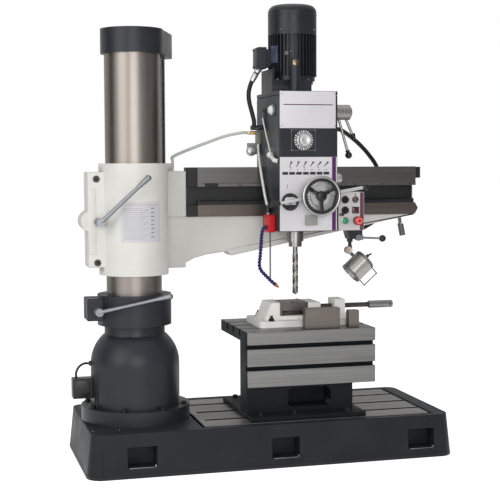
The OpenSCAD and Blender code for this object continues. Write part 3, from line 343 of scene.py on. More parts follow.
@dataclass(frozen=True)
class Finish:
    """A surface finish: one material, built once.

    Attributes:
        name: The material's name.
        colour: Linear base colour.
        roughness: Middle roughness.
        metallic: 1 for bare metal.
        peel: Size of the paint's bump in cells per metre.
        streak: Cells per metre of the tool marks along X, Y and Z, or empty for paint.
        contrast: How far the tone swings round the base colour.
        bump: Strength of the bump.
        coat: Weight of the clear coat.
        specular: Specular level of the shader.
        bare: Boxes in millimetres in which a second surface shows, such as machined metal, or a
            darker grey that is painted shade.
        bare_colour: Colour of that surface.
        bare_streak: Its tool marks, as streak.
        bare_roughness: Its middle roughness.
        bare_metallic: 1 where it is metal.
        bare_contrast: How far its tone swings.
    """

    name: str
    colour: Point
    roughness: float = 0.4
    metallic: float = 0.0
    peel: float = 300.0
    streak: tuple[float, ...] = ()
    contrast: float = 0.15
    bump: float = 0.1
    coat: float = 0.0
    specular: float = 0.5
    bare: tuple[tuple[Point, Point], ...] = ()
    bare_colour: Point = (0.5, 0.48, 0.46)
    bare_streak: tuple[float, ...] = (3.0, 90.0, 90.0)
    bare_roughness: float = 0.34
    bare_metallic: float = 1.0
    bare_contrast: float = 0.15

    @cache
    def material(self) -> bpy.types.Material:
        """Builds the material on its first use.

        Returns:
            The finished material.
        """
        made = bpy.data.materials.new(self.name)
        made.use_nodes = True
        made.diffuse_color = (*self.colour, 1.0)
        graph = Graph(made.node_tree)
        where = graph.node("ShaderNodeTexCoord").outputs["Object"]
        colour, rough, height = self._surface(
            graph, where, self.colour, self.roughness, self.streak, self.contrast)
        metallic: object = self.metallic
        if self.bare:
            mask = self._mask(graph, where)
            b_colour, b_rough, b_height = self._surface(
                graph, where, self.bare_colour, self.bare_roughness, self.bare_streak,
                self.bare_contrast)
            colour = graph.mix(mask, colour, b_colour)
            rough = graph.mix(mask, rough, b_rough, colour=False)
            height = graph.mix(mask, height, b_height, colour=False)
            metallic = graph.mix(mask, self.metallic, self.bare_metallic, colour=False)
        relief = graph.node("ShaderNodeBump", {
            "Strength": self.bump, "Distance": BUMP_DEPTH, "Height": height})
        graph.fill(made.node_tree.nodes["Principled BSDF"], {
            "Base Color": colour, "Roughness": rough, "Metallic": metallic,
            "Coat Weight": self.coat, "Coat Roughness": COAT_ROUGHNESS,
            "Specular IOR Level": self.specular, "Normal": relief.outputs["Normal"]})
        return made

    def _surface(self, graph: Graph, where: bpy.types.NodeSocket, colour: Point, roughness: float,
                 streak: tuple[float, ...], contrast: float) -> tuple[bpy.types.NodeSocket, ...]:
        """Adds the colour, roughness and height of one kind of surface.

        Args:
            graph: The material's graph.
            where: Object coordinates.
            colour: Base colour.
            roughness: Middle roughness.
            streak: Cells per metre along each axis, or empty for paint.
            contrast: How far the tone swings.

        Returns:
            Colour, roughness and height sockets.
        """
        dark = tuple(c * (1.0 - contrast) for c in colour)
        light = tuple(min(c * (1.0 + contrast), 1.0) for c in colour)
        if streak:
            drawn = graph.node("ShaderNodeMapping", {"Vector": where, "Scale": streak})
            marks = graph.node("ShaderNodeGroup", node_tree=Effects.marks())
            graph.fill(marks, {"Vector": drawn.outputs["Vector"], "Broad": BROAD_MARKS})
            tone, height = marks.outputs["Tone"], marks.outputs["Height"]
        else:
            peel = graph.node("ShaderNodeGroup", node_tree=Effects.peel())
            graph.fill(peel, {"Vector": where, "Scale": self.peel})
            tone, height = peel.outputs["Cloud"], peel.outputs["Height"]
        shade = graph.remap(tone, TONE_RANGE, UNIT_RANGE)
        smoother, rougher = (roughness * swing for swing in ROUGHNESS_SWING)
        rough = graph.remap(shade, UNIT_RANGE, (smoother, min(rougher, 1.0)))
        return graph.mix(shade, dark, light), rough, height

    def _mask(self, graph: Graph, where: bpy.types.NodeSocket) -> bpy.types.NodeSocket:
        """Adds the mask of the bare boxes.

        Args:
            graph: The material's graph.
            where: Object coordinates.

        Returns:
            The mask socket.
        """
        total: object = 0.0
        for low, high in self.bare:
            box = graph.node("ShaderNodeGroup", node_tree=Effects.region())
            graph.fill(box, {"Vector": where, "Low": mm(low), "High": mm(high)})
            total = graph.math("MAXIMUM", total, box.outputs["Mask"])
        return total


DARK = Finish("dark_machine_paint", (0.0195, 0.0220, 0.0275), 0.36, peel=420.0, contrast=0.16,
              bump=0.14, specular=0.26)
CREAM = Finish("cream_machine_paint", (0.71, 0.695, 0.655), 0.38, peel=380.0, contrast=0.05,
               bump=0.12, specular=0.35)
# Panel paint. Its bare box is painted shade: the trip block under the handwheel has the panel's own
# paint and gets a darker grey for the shade there
PANEL_AND_SHADE = Finish("light_panel_paint_and_painted_shade", (0.69, 0.672, 0.695), 0.36, peel=600.0, contrast=0.03,
               bump=0.05, specular=0.3, bare=(((730.5, -167.0, 1017.5), (785.5, -150.3, 1062.5)),),
               bare_colour=(0.27, 0.27, 0.255), bare_streak=(), bare_metallic=0.0)
LABEL = Finish("grey_label_film", (0.61, 0.60, 0.615), 0.4, peel=500.0, contrast=0.04, bump=0.03,
               specular=0.3)
RED = Finish("red_gloss_paint", (0.55, 0.007, 0.012), 0.32, peel=400.0, contrast=0.12, bump=0.08,
             specular=0.25)
PURPLE = Finish("purple_trim_film", (0.085, 0.014, 0.105), 0.4, peel=500.0, contrast=0.06,
                bump=0.03, specular=0.3)
BLACK = Finish("black_machine_finish", (0.008, 0.0085, 0.0095), 0.42, contrast=0.25, bump=0.08,
               specular=0.3)
COLUMN = Finish("ground_column_steel", (0.215, 0.192, 0.174), 0.34, 1.0, streak=(26.0, 26.0, 1.2),
                contrast=0.2, bump=0.04)
WAY = Finish("ground_way_iron", (0.115, 0.109, 0.107), 0.38, 1.0, streak=(1.6, 120.0, 120.0),
             contrast=0.2, bump=0.06)
LOWER = Finish("scraped_way_iron", (0.100, 0.084, 0.076), 0.4, 1.0, streak=(2.0, 90.0, 90.0),
               contrast=0.25, bump=0.06)
BLOCK = Finish("sawn_block_steel", (0.160, 0.142, 0.130), 0.42, 1.0, streak=(30.0, 30.0, 120.0),
               bump=0.08)
STEEL = Finish("turned_steel", (0.36, 0.35, 0.34), 0.3, 1.0, streak=(40.0, 40.0, 40.0), bump=0.05)
BRIGHT = Finish("bright_plated_steel", (0.50, 0.50, 0.51), 0.15, 1.0, peel=90.0, contrast=0.05,
                bump=0.02)
SPINDLE = Finish("ground_spindle_steel", (0.245, 0.238, 0.226), 0.26, 1.0, streak=(60.0, 60.0, 8.0),
                 contrast=0.2, bump=0.04)
SATIN = Finish("satin_forged_steel", (0.205, 0.213, 0.232), 0.36, 0.85, peel=240.0, contrast=0.12,
               bump=0.14)
HANDLE = Finish("grey_handle_paint", (0.115, 0.117, 0.122), 0.38, 0.3, contrast=0.12)
LAMP_METAL = Finish("brushed_lamp_metal", (0.36, 0.345, 0.325), 0.35, 1.0,
                    streak=(60.0, 60.0, 60.0), contrast=0.14, bump=0.05)
ZINC = Finish("rosy_pivot_zinc", (0.45, 0.37, 0.32), 0.42, 0.4, contrast=0.08, bump=0.06)
TOOL = Finish("drill_tool_steel", (0.19, 0.18, 0.17), 0.28, 1.0, streak=(120.0, 120.0, 30.0),
              contrast=0.25, bump=0.05)
DIAL_METAL = Finish("satin_dial_metal", (0.50, 0.495, 0.50), 0.36, 0.75, contrast=0.1, bump=0.05)
BRASS = Finish("brass", (0.60, 0.42, 0.17), 0.26, 1.0, peel=120.0, contrast=0.12, bump=0.04)
BRONZE = Finish("dark_bronze", (0.27, 0.20, 0.145), 0.22, 1.0, peel=120.0, contrast=0.2, bump=0.04)
PLASTIC = Finish("black_moulded_plastic", (0.010, 0.010, 0.011), 0.32, peel=700.0, bump=0.06,
                 specular=0.35)
RUBBER = Finish("black_cable_rubber", (0.010, 0.010, 0.011), 0.48, peel=500.0, contrast=0.2,
                bump=0.08, specular=0.3)
HOSE = Finish("pale_hose_plastic", (0.57, 0.61, 0.58), 0.3, peel=200.0, contrast=0.07, bump=0.05)
WHITE = Finish("white_tube_plastic", (0.76, 0.76, 0.73), 0.32, peel=260.0, contrast=0.04, bump=0.04)
BLUE = Finish("blue_segment_plastic", (0.024, 0.015, 0.105), 0.34, bump=0.04, specular=0.3)
ORANGE = Finish("nozzle_plastic", (0.46, 0.15, 0.06), 0.35, contrast=0.12, bump=0.04)
GREEN = Finish("green_button_plastic", (0.014, 0.31, 0.125), 0.28, contrast=0.08, bump=0.03)
SIGNAL = Finish("red_button_plastic", (0.62, 0.014, 0.018), 0.28, contrast=0.08, bump=0.03)
LENS_RED = Finish("dark_red_lens", (0.075, 0.007, 0.006), 0.16, peel=200.0, contrast=0.2, bump=0.02,
                  coat=0.5)
LENS = Finish("clear_lamp_lens", (0.60, 0.61, 0.62), 0.12, peel=120.0, contrast=0.05, bump=0.03,
              coat=0.5)
MARK = Finish("white_mark_print", (0.72, 0.71, 0.72), 0.45, peel=400.0, contrast=0.03, bump=0.02)
INK = Finish("dark_mark_print", (0.022, 0.018, 0.026), 0.45, peel=400.0, contrast=0.1, bump=0.02,
             specular=0.3)
RULE = Finish("grey_rule_print", (0.27, 0.27, 0.31), 0.45, peel=400.0, contrast=0.05, bump=0.02)
NAMEPLATE = Finish("blue_grey_plate", (0.12, 0.14, 0.235), 0.34, 0.4, streak=(90.0, 90.0, 40.0),
                   contrast=0.5, bump=0.04)
LAMP_GLASS = Finish("lamp_glass", (0.20, 0.205, 0.21), 0.12, peel=120.0, contrast=0.1, bump=0.03,
                    coat=0.5)
MAGENTA = Finish("dusky_trim_film", (0.135, 0.048, 0.080), 0.4, peel=500.0, contrast=0.06,
                 bump=0.03, specular=0.3)
VALVE_GREY = Finish("dull_valve_metal", (0.21, 0.21, 0.185), 0.4, 0.6, peel=240.0, contrast=0.2,
                    bump=0.12)
BASE_PAINT = Finish("base_paint_and_pad", (0.0175, 0.0195, 0.0235), 0.46, peel=360.0, contrast=0.2,
                    bump=0.2, specular=0.14, bare=(
                        ((245.3, -289.7, 183.0), (1264.7, 289.7, 186.0)),),
                    bare_colour=(0.235, 0.225, 0.216), bare_streak=(2.2, 46.0, 46.0),
                    bare_roughness=0.4, bare_contrast=0.6)
TABLE_PAINT = Finish("table_paint_and_faces", (0.0095, 0.0108, 0.0125), 0.5, peel=360.0,
                     contrast=0.16, bump=0.18, specular=0.1,
                     bare=(((456.4, -199.0, 319.0), (1046.0, -191.0, 562.0)),
                           ((456.4, -199.0, 559.6), (1046.0, 280.0, 563.0))),
                     bare_colour=(0.19, 0.188, 0.186), bare_streak=(3.0, 90.0, 160.0),
                     bare_roughness=0.38, bare_contrast=0.3)
VISE_PAINT = Finish("vise_paint_and_plates", (0.82, 0.80, 0.765), 0.45, peel=260.0, contrast=0.1,
                    bump=0.3, specular=0.3, bare=(((651.8, -32.0, 606.0), (664.2, 120.0, 667.0)),
                                                  ((771.8, -32.0, 606.0), (784.2, 120.0, 667.0))),
                    bare_colour=(0.15, 0.135, 0.125), bare_streak=(20.0, 60.0, 60.0))
VISE_SCREW = Finish("vise_screw_steel", (0.075, 0.068, 0.064), 0.34, 1.0, streak=(230.0, 6.0, 6.0),
                    contrast=0.4, bump=0.3, bare=(((1102.5, 20.0, 610.0), (1219.0, 70.0, 660.0)),),
                    bare_colour=(0.24, 0.245, 0.255), bare_streak=(6.0, 80.0, 80.0))
BOX_PAINT = Finish("box_paint_and_bracket", (0.63, 0.612, 0.622), 0.36, peel=600.0, contrast=0.03,
                   bump=0.05, specular=0.3, bare=(
                       ((930.0, -125.0, 940.0), (1016.0, -55.0, 989.7)),),
                   bare_colour=(0.022, 0.025, 0.027), bare_streak=(), bare_metallic=0.0)


class Form:
    """A mesh in the making, shaped with mesh operators. Sizes are in millimetres."""

    def __init__(self) -> None:
        """Starts with an empty mesh."""
        self.bm = bmesh.new()

    def block(self, low: Sequence[float], high: Sequence[float], round_by: float = 0.0,
              steps: int = 2) -> Form:
        """Adds a box with rounded edges.

        Args:
            low: Lowest corner.
            high: Highest corner.
            round_by: Edge radius.
            steps: Segments of the rounding.

        Returns:
            This form.
        """
        a, b = mm(low), mm(high)
        place = Matrix.Translation((a + b) / 2) @ Matrix.Diagonal((*(b - a), 1.0))
        verts = bmesh.ops.create_cube(self.bm, size=1.0, matrix=place)["verts"]
        if round_by:
            self.bevel({e for v in verts for e in v.link_edges}, round_by, steps)
        return self

    def rod(self, start: Sequence[float], end: Sequence[float], radius: float,
            end_radius: float | None = None, sides: int = 32, round_by: float = 0.0) -> Form:
        """Adds a round rod or cone between two points.

        Args:
            start: Centre of the first end.
            end: Centre of the second end.
            radius: Radius at the start.
            end_radius: Radius at the end, if it differs.
            sides: Number of sides.
            round_by: Radius of the rims.

        Returns:
            This form.
        """
        a, b = mm(start), mm(end)
        turn = (b - a).to_track_quat("Z", "Y").to_matrix().to_4x4()
        last = radius if end_radius is None else end_radius
        verts = bmesh.ops.create_cone(
            self.bm, cap_ends=True, segments=sides, radius1=radius * MM, radius2=last * MM,
            depth=(b - a).length, matrix=Matrix.Translation((a + b) / 2) @ turn)["verts"]
        if round_by:
            edges = {e for v in verts for e in v.link_edges}
            self.bevel((e for e in edges if any(len(f.verts) == sides for f in e.link_faces)),
                       round_by, 3)
        return self

    def ball(self, centre: Sequence[float], radius: float, sides: int = 28) -> Form:
        """Adds a ball.

        Args:
            centre: The ball's centre.
            radius: The ball's radius.
            sides: Number of sides.

        Returns:
            This form.
        """
        bmesh.ops.create_uvsphere(self.bm, u_segments=sides, v_segments=sides // 2,
                                  radius=radius * MM, matrix=Matrix.Translation(mm(centre)))
        return self

    def lathe(self, profile: Sequence[Pair], centre: Sequence[float], axis: Axis | Vector,
              sides: int = 48, closed: bool = False) -> Form:
        """Turns a profile about an axis.

        Args:
            profile: Radius and height along the axis, point by point.
            centre: Point on the axis at height 0.
            axis: Direction of the axis.
            sides: Steps of the turn.
            closed: Whether the profile closes on itself, as for a ring.

        Returns:
            This form.
        """
        part = bmesh.new()
        verts = [part.verts.new((r * MM, 0.0, h * MM)) for r, h in profile]
        ends = verts[1:] + verts[:1] if closed else verts[1:]
        edges = [part.edges.new(pair) for pair in zip(verts, ends)]
        bmesh.ops.spin(part, geom=[*verts, *edges], cent=(0, 0, 0), axis=(0, 0, 1),
                       angle=math.tau, steps=sides, use_merge=True)
        bmesh.ops.remove_doubles(part, verts=part.verts, dist=1e-6)
        bmesh.ops.recalc_face_normals(part, faces=part.faces)
        along = axis.value if isinstance(axis, Axis) else axis
        turn = along.to_track_quat("Z", "Y").to_matrix().to_4x4()
        bmesh.ops.transform(part, matrix=Matrix.Translation(mm(centre)) @ turn, verts=part.verts)
        return self.take(part)

    def curved_plate(self, radius: float, angles: Pair, heights: Pair, thickness: float,
                     steps: int = 20) -> Form:
        """Adds a thin plate wrapped round the Z axis.

        Args:
            radius: Radius of the inner face.
            angles: First and last angle in degrees from +X.
            heights: Lowest and highest Z.
            thickness: Thickness of the plate.
            steps: Steps of the bend.

        Returns:
            This form.
        """
        part = bmesh.new()
        start = Matrix.Rotation(math.radians(angles[0]), 4, "Z")
        (low, high), outer = heights, radius + thickness
        ring = ((radius, low), (radius, high), (outer, high), (outer, low))
        face = part.faces.new([part.verts.new(start @ mm((r, 0.0, z))) for r, z in ring])
        bmesh.ops.spin(part, geom=[face], cent=(0, 0, 0), axis=(0, 0, 1),
                       angle=math.radians(angles[1] - angles[0]), steps=steps)
        bmesh.ops.remove_doubles(part, verts=part.verts, dist=1e-7)
        bmesh.ops.recalc_face_normals(part, faces=part.faces)
        return self.take(part)

    def bevel(self, edges: Iterable[bmesh.types.BMEdge], radius: float, segments: int,
              clamp: bool = True) -> None:
        """Rounds edges.

        Args:
            edges: The edges.
            radius: Radius of the rounding.
            segments: Its segments.
            clamp: Whether the rounding stops where it would run into another.
        """
        bmesh.ops.bevel(self.bm, geom=list(edges), offset=radius * MM, offset_type="OFFSET",
                        segments=segments, profile=0.5, affect="EDGES", clamp_overlap=clamp,
                        material=-1)

    def move(self, matrix: Matrix) -> Form:
        """Moves everything that the form holds, in metres, and returns the form."""
        bmesh.ops.transform(self.bm, matrix=matrix, verts=self.bm.verts)
        return self

    def take(self, part: bmesh.types.BMesh) -> Form:
        """Adds another mesh to this one and frees it.

        Args:
            part: The other mesh.

        Returns:
            This form.
        """
        scratch = bpy.data.meshes.new("scratch")
        part.to_mesh(scratch)
        part.free()
        self.bm.from_mesh(scratch)
        bpy.data.meshes.remove(scratch)
        return self

    def place(self, name: str, finish: Finish, body: Body, slot: str,
              replaces: Sequence[str] = ()) -> bpy.types.Object:
        """Makes the form a piece of the object.

        Args:
            name: The piece's name.
            finish: Its finish.
            body: The body that it rides on.
            slot: The record's material slot; not used.
            replaces: CAD nodes that it stands for.

        Returns:
            The new object.
        """
        mesh = bpy.data.meshes.new(name)
        self.bm.to_mesh(mesh)
        self.bm.free()
        mesh.materials.append(finish.material())
        mesh.shade_smooth()
        mesh.set_sharp_from_angle(angle=SMOOTH_ANGLE)
        made = bpy.data.objects.new(name, mesh)
        bpy.context.scene.collection.objects.link(made)
        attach(made, body.value)
        if replaces:
            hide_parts(*replaces)
        LOG.info("piece %s on %s", name, body.value)
        return made


class Frame:
    """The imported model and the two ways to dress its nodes."""

    def __init__(self) -> None:
        """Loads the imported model."""
        self.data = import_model()
        self.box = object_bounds()

    def paint(self, finish: Finish, *nodes: str) -> None:
        """Gives CAD nodes a finish.

        Args:
            finish: The finish.
            nodes: The nodes' names.
        """
        for name in nodes:
            for slot in self.data["nodes"][name].material_slots:
                slot.material = finish.material()
            LOG.info("node %s in %s", name, finish.name)

    def soften(self, node: str, finish: Finish, body: Body, slot: str, round_by: float) -> None:
        """Replaces a node by a copy with rounded edges.

        Args:
            node: The CAD node.
            finish: Its finish.
            body: The body that it rides on.
            slot: The record's material slot; not used.
            round_by: Edge radius in millimetres.
        """
        form = Form()
        bm = form.bm
        bm.from_mesh(self.data["nodes"][node].data)
        bmesh.ops.remove_doubles(bm, verts=bm.verts, dist=2e-6)
        bmesh.ops.dissolve_limit(bm, angle_limit=FLAT_ANGLE, verts=bm.verts, edges=bm.edges)
        flattest, sharpest = ROUNDED_ANGLES
        form.bevel([e for e in bm.edges if len(e.link_faces) == 2 and e.is_convex
                    and e.calc_length() > SHORTEST_EDGE * MM
                    and flattest < e.calc_face_angle(0.0) < sharpest],
                   round_by, 3, clamp=False)
        piece = form.place(f"{node}_dressed", finish, body, slot, [node])
        piece.modifiers.new("even_shading", "WEIGHTED_NORMAL").keep_sharp = True


def smooth_route(points: Sequence[Point], steps: int = 8) -> list[Vector]:
    """Runs a smooth curve through the points of a cord's route.

    Args:
        points: The route in millimetres.
        steps: Steps between two points.

    Returns:
        Points along the curve, in metres.
    """
    p = [mm(q) for q in points]
    made: list[Vector] = []
    for i in range(len(p) - 1):
        a, b, c, d = p[max(i - 1, 0)], p[i], p[i + 1], p[min(i + 2, len(p) - 1)]
        for k in range(steps):
            t = k / steps
            made.append(0.5 * (2 * b + (c - a) * t + (2 * a - 5 * b + 4 * c - d) * t * t
                               + (3 * b - a - 3 * c + d) * t ** 3))
    return [*made, p[-1]]


def route_length(points: Sequence[Vector]) -> float:
    """Returns the length of a chain of points."""
    return sum((b - a).length for a, b in zip(points, points[1:]))


def outward(degrees: float) -> Vector:
    """Returns the level direction at an angle from +X."""
    return Vector((math.cos(math.radians(degrees)), math.sin(math.radians(degrees)), 0.0))


@dataclass
class Cord:
    """A cable, tube or hose along a fixed route.

    Attributes:
        name: The piece's name.
        route: Points in millimetres.
        diameter: Diameter in millimetres.
        finish: Its finish.
        body: The body that it rides on.
        slot: The record's material slot; not used.
        node: The CAD node that it stands for, or empty.
        blend: Two bodies that it runs between, if it does; when given, the cord becomes a plain
            mesh on no body, and the two bodies are not used.
    """

    name: str
    route: Sequence[Point]
    diameter: float
    finish: Finish
    body: Body
    slot: str
    node: str = ""
    blend: tuple[Body, Body] | None = None

    def build(self) -> None:
        path = smooth_route(self.route)
        curve = bpy.data.curves.new(self.name, "CURVE")
        curve.dimensions = "3D"
        curve.bevel_depth = self.diameter / 2 * MM
        curve.bevel_resolution = 5
        curve.use_fill_caps = True
        spline = curve.splines.new("POLY")
        spline.points.add(len(path) - 1)
        for point, at in zip(spline.points, path):
            point.co = (*at, 1.0)
        curve.materials.append(self.finish.material())
        made = bpy.data.objects.new(self.name, curve)
        bpy.context.scene.collection.objects.link(made)
        if self.blend:
            bpy.context.view_layer.update()
            depsgraph = bpy.context.evaluated_depsgraph_get()
            mesh = bpy.data.meshes.new_from_object(made.evaluated_get(depsgraph))
            bpy.data.objects.remove(made)
            made = bpy.data.objects.new(self.name, mesh)
            bpy.context.scene.collection.objects.link(made)
            mesh.shade_smooth()
            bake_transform(made)
        else:
            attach(made, self.body.value)
        if self.node:
            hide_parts(self.node)
        LOG.info("cord %s, %.2f m", self.name, route_length(path))


@dataclass
class Cords:
    """All cables, tubes and hoses."""

    junction: Sequence[Point] = ((-258, 0, 367), (-258, 0, 390), (-246, 0, 414), (-224, 0, 428),
                                 (-202, 0, 428))
    motor: Sequence[Point] = ((594, 150, 1694), (588.3, 150, 1684.7), (577, 150, 1664),
                              (567, 150, 1640), (561, 150, 1614), (560, 150, 1590),
                              (564, 150, 1562), (572, 150, 1532), (580, 150, 1502),
                              (585, 150, 1480), (585, 150, 1462))
    conduit: Sequence[Point] = ((904, 60, 1446), (932, 60, 1446), (995, 118, 1440),
                                (1066, 180, 1410), (1130, 226, 1372), (1180, 252, 1330),
                                (1222, 264, 1280), (1248, 268, 1215), (1256, 268, 1140),
                                (1246, 266, 1065), (1215, 262, 1012), (1170, 256, 985),
                                (1115, 238, 965), (1062, 190, 952), (1025, 120, 950),
                                (1000, 55, 972), (982, 5, 1000), (975, -16, 1010), (975, -40, 1010))
    hose: Sequence[Point] = ((218, 212, 1305), (218, 212, 1319), (264, 203, 1342), (364, 184, 1381),
                             (450, 172, 1412), (525, 160, 1428), (560, 160, 1428))
    tube: Sequence[Point] = ((606, 155, 1378), (606, 155, 1352), (602, 118, 1290), (601, 72, 1215),
                             (602, 28, 1140), (603, -14, 1086), (603, -14, 1062))
    lube: Sequence[Point] = ((606, 80, 1492), (605, 62, 1470), (605, 20, 1415), (605, -20, 1368),
                             (605, -43, 1338))

    def build(self) -> None:
        """Makes every cord."""
        Cord("junction_lead", self.junction, 10, RUBBER, Body.BASE, "cable_rubber",
             "junction_cable").build()
        Cord("motor_lead", self.motor, 20, RUBBER, Body.HEAD, "cable_rubber", "motor_cable").build()
        Cord("control_conduit", self.conduit, 20, RUBBER, Body.HEAD, "cable_rubber",
             "head_conduit").build()
        Cord("coolant_supply", self.hose, 14, HOSE, Body.ARM, "pale_plastic", "coolant_hose",
             blend=(Body.ARM, Body.HEAD)).build()
        Cord("coolant_tube", self.tube, 12, WHITE, Body.HEAD, "pale_plastic",
             "coolant_lines").build()
        Cord("lube_tube", self.lube, 6, WHITE, Body.HEAD, "pale_plastic").build()


def socket_screw(form: Form, seat: Sequence[float], axis: Axis | Vector, radius: float,
                 height: float) -> None:
    """Adds a socket head screw with a hexagon hole.

    Args:
        form: The form to add to.
        seat: Centre of the head's seat, in millimetres.
        axis: Direction that the head points in.
        radius: Radius of the head.
        height: Height of the head.
    """
    edge, hole, depth = radius * 0.12, radius * 0.58, height * 0.45
    form.lathe([(0, 0), (radius, 0), (radius, height - edge), (radius - edge, height),
                (hole, height)], seat, axis, 24)
    form.lathe([(hole, height), (hole, depth), (0, depth)], seat, axis, 6)


def washer(form: Form, seat: Sequence[float], radius: float, height: float) -> None:
    """Adds a washer that lies flat on its seat, in millimetres."""
    form.lathe([(0, 0), (radius, 0), (radius, height), (0, height)], seat, Axis.UP, 24)


@dataclass
class BaseAndColumn:
    """The base, pedestal, column and lift screw."""

    frame: Frame
    flange_bolt_r: float = 214.5
    flange_top: float = 246.0
    washer_h: float = 2.0
    screw_at: Pair = (160.697, 191.511)
    screw_r: float = 21.0
    screw_ends: Pair = (835.0, 1779.0)
    thread_run: Pair = (840.0, 1750.0)
    thread_pitch: float = 8.0
    thread_depth: float = 2.4
    niche_x: tuple[float, ...] = (-31.0, 586.0, 1204.0)
    niche_edge: Pair = (-350.4, 42.0)
    # Corners, rounding and wall of the black band round the base's foot, a painted contact shadow
    shadow_band_low: Point = (-257.9, -354.9, 0.3)
    shadow_band_high: Point = (1361.9, 354.9, 13.0)
    shadow_band_corner: float = 68.0
    shadow_band_wall: float = 4.0
    base_top: float = 184.0
    rivets_at: tuple[Pair, ...] = ((-223.0, -248.0), (-112.0, -253.0))

    def build(self) -> None:
        """Dresses the castings and makes the screws and the thread."""
        frame = self.frame
        frame.soften("base_plate", BASE_PAINT, Body.BASE, "dark_paint", 4.0)
        frame.soften("column_pedestal", DARK, Body.BASE, "dark_paint", 5.0)
        frame.soften("clamp_collar", DARK, Body.BASE, "dark_paint", 5.0)
        frame.soften("junction_box", PLASTIC, Body.BASE, "black_plastic", 4.0)
        frame.soften("column_cap", DARK, Body.COLUMN, "dark_paint", 7.0)
        frame.paint(COLUMN, "column_tube")
        frame.paint(WAY, "inner_post")
        frame.paint(BRIGHT, "column_bearings")
        frame.paint(BLACK, "lift_motor")
        frame.paint(SATIN, "column_clamp_lever")
        self.bolts()
        self.thread()
        self.box_lid()
        self.niche_edges()
        self.painted_foot_shadow()

    def bolts(self) -> None:
        """Makes the ring of flange bolts."""
        form = Form()
        for c, s in around(8, 22.5):
            x, y, z = self.flange_bolt_r * c, self.flange_bolt_r * s, self.flange_top
            washer(form, (x, y, z), 15, self.washer_h)
            socket_screw(form, (x, y, z + self.washer_h), Axis.UP, 11.5, 9.5)
        form.place("flange_screws", BLACK, Body.BASE, "ground_steel", ["pedestal_bolts"])

    def thread(self) -> None:
        """Makes the lift screw with its thread."""
        bottom, top = self.screw_ends
        z, last = self.thread_run
        crest, root, pitch = self.screw_r, self.screw_r - self.thread_depth, self.thread_pitch
        profile: list[Pair] = [(0, bottom), (crest - 4, bottom)]
        while z < last:
            profile += [(crest, z), (crest, z + pitch * 0.4), (root, z + pitch * 0.55),
                        (root, z + pitch * 0.9)]
            z += pitch
        profile += [(crest, last + 6), (crest, top), (0, top)]
        Form().lathe(profile, (*self.screw_at, 0), Axis.UP, 28).place(
            "lift_thread", WAY, Body.SCREW, "way_iron", ["lift_screw"])

    def box_lid(self) -> None:
        """Makes the junction box's lid and its screws, on the box's front."""
        form = Form()
        form.block((-270, -35, 287), (-199, -31, 360), 1.6)
        for x in (-264, -205):
            for z in (293, 354):
                form.lathe([(0, 1.8), (3.0, 1.4), (3.4, 0), (3.4, -1)], (x, -35, z), Axis.FRONT, 16)
        form.place("junction_lid", PLASTIC, Body.BASE, "black_plastic")

    def niche_edges(self) -> None:
        """Makes bright steel strips along the niches' lower edges, the levelling screws, and two
        rivets on the base.
        """
        form = Form()
        y, z = self.niche_edge
        for x in self.niche_x:
            form.block((x - 56, y - 0.6, z - 1.2), (x + 50, y + 5.0, z + 1.4), 0.8)
            form.lathe([(0, 9), (3.4, 8.6), (4.4, 7), (4.4, -1)], (x + 55, y + 8, z), Axis.UP, 6)
        for at in self.rivets_at:
            form.lathe([(0, 2.6), (2.6, 2.1), (4.2, 0.4), (4.2, -0.6)], (*at, self.base_top),
                       Axis.UP, 16)
        form.place("niche_edges", SATIN, Body.BASE, "ground_steel")

    def painted_foot_shadow(self) -> None:
        """Makes a black band round the foot of the base, a painted contact shadow along its bottom
        edge.
        """
        form = Form().block(self.shadow_band_low, self.shadow_band_high)
        bm = form.bm
        upright = [e for e in bm.edges if abs(e.verts[0].co.z - e.verts[1].co.z) > MM]
        form.bevel(upright, self.shadow_band_corner, 10)
        bm.normal_update()
        level = [f for f in bm.faces if abs(f.normal.z) > 0.9]
        bmesh.ops.delete(bm, geom=level, context="FACES")
        bmesh.ops.solidify(bm, geom=bm.faces[:], thickness=self.shadow_band_wall * MM)
        form.place("painted_foot_shadow", BLACK, Body.BASE, "dark_paint")


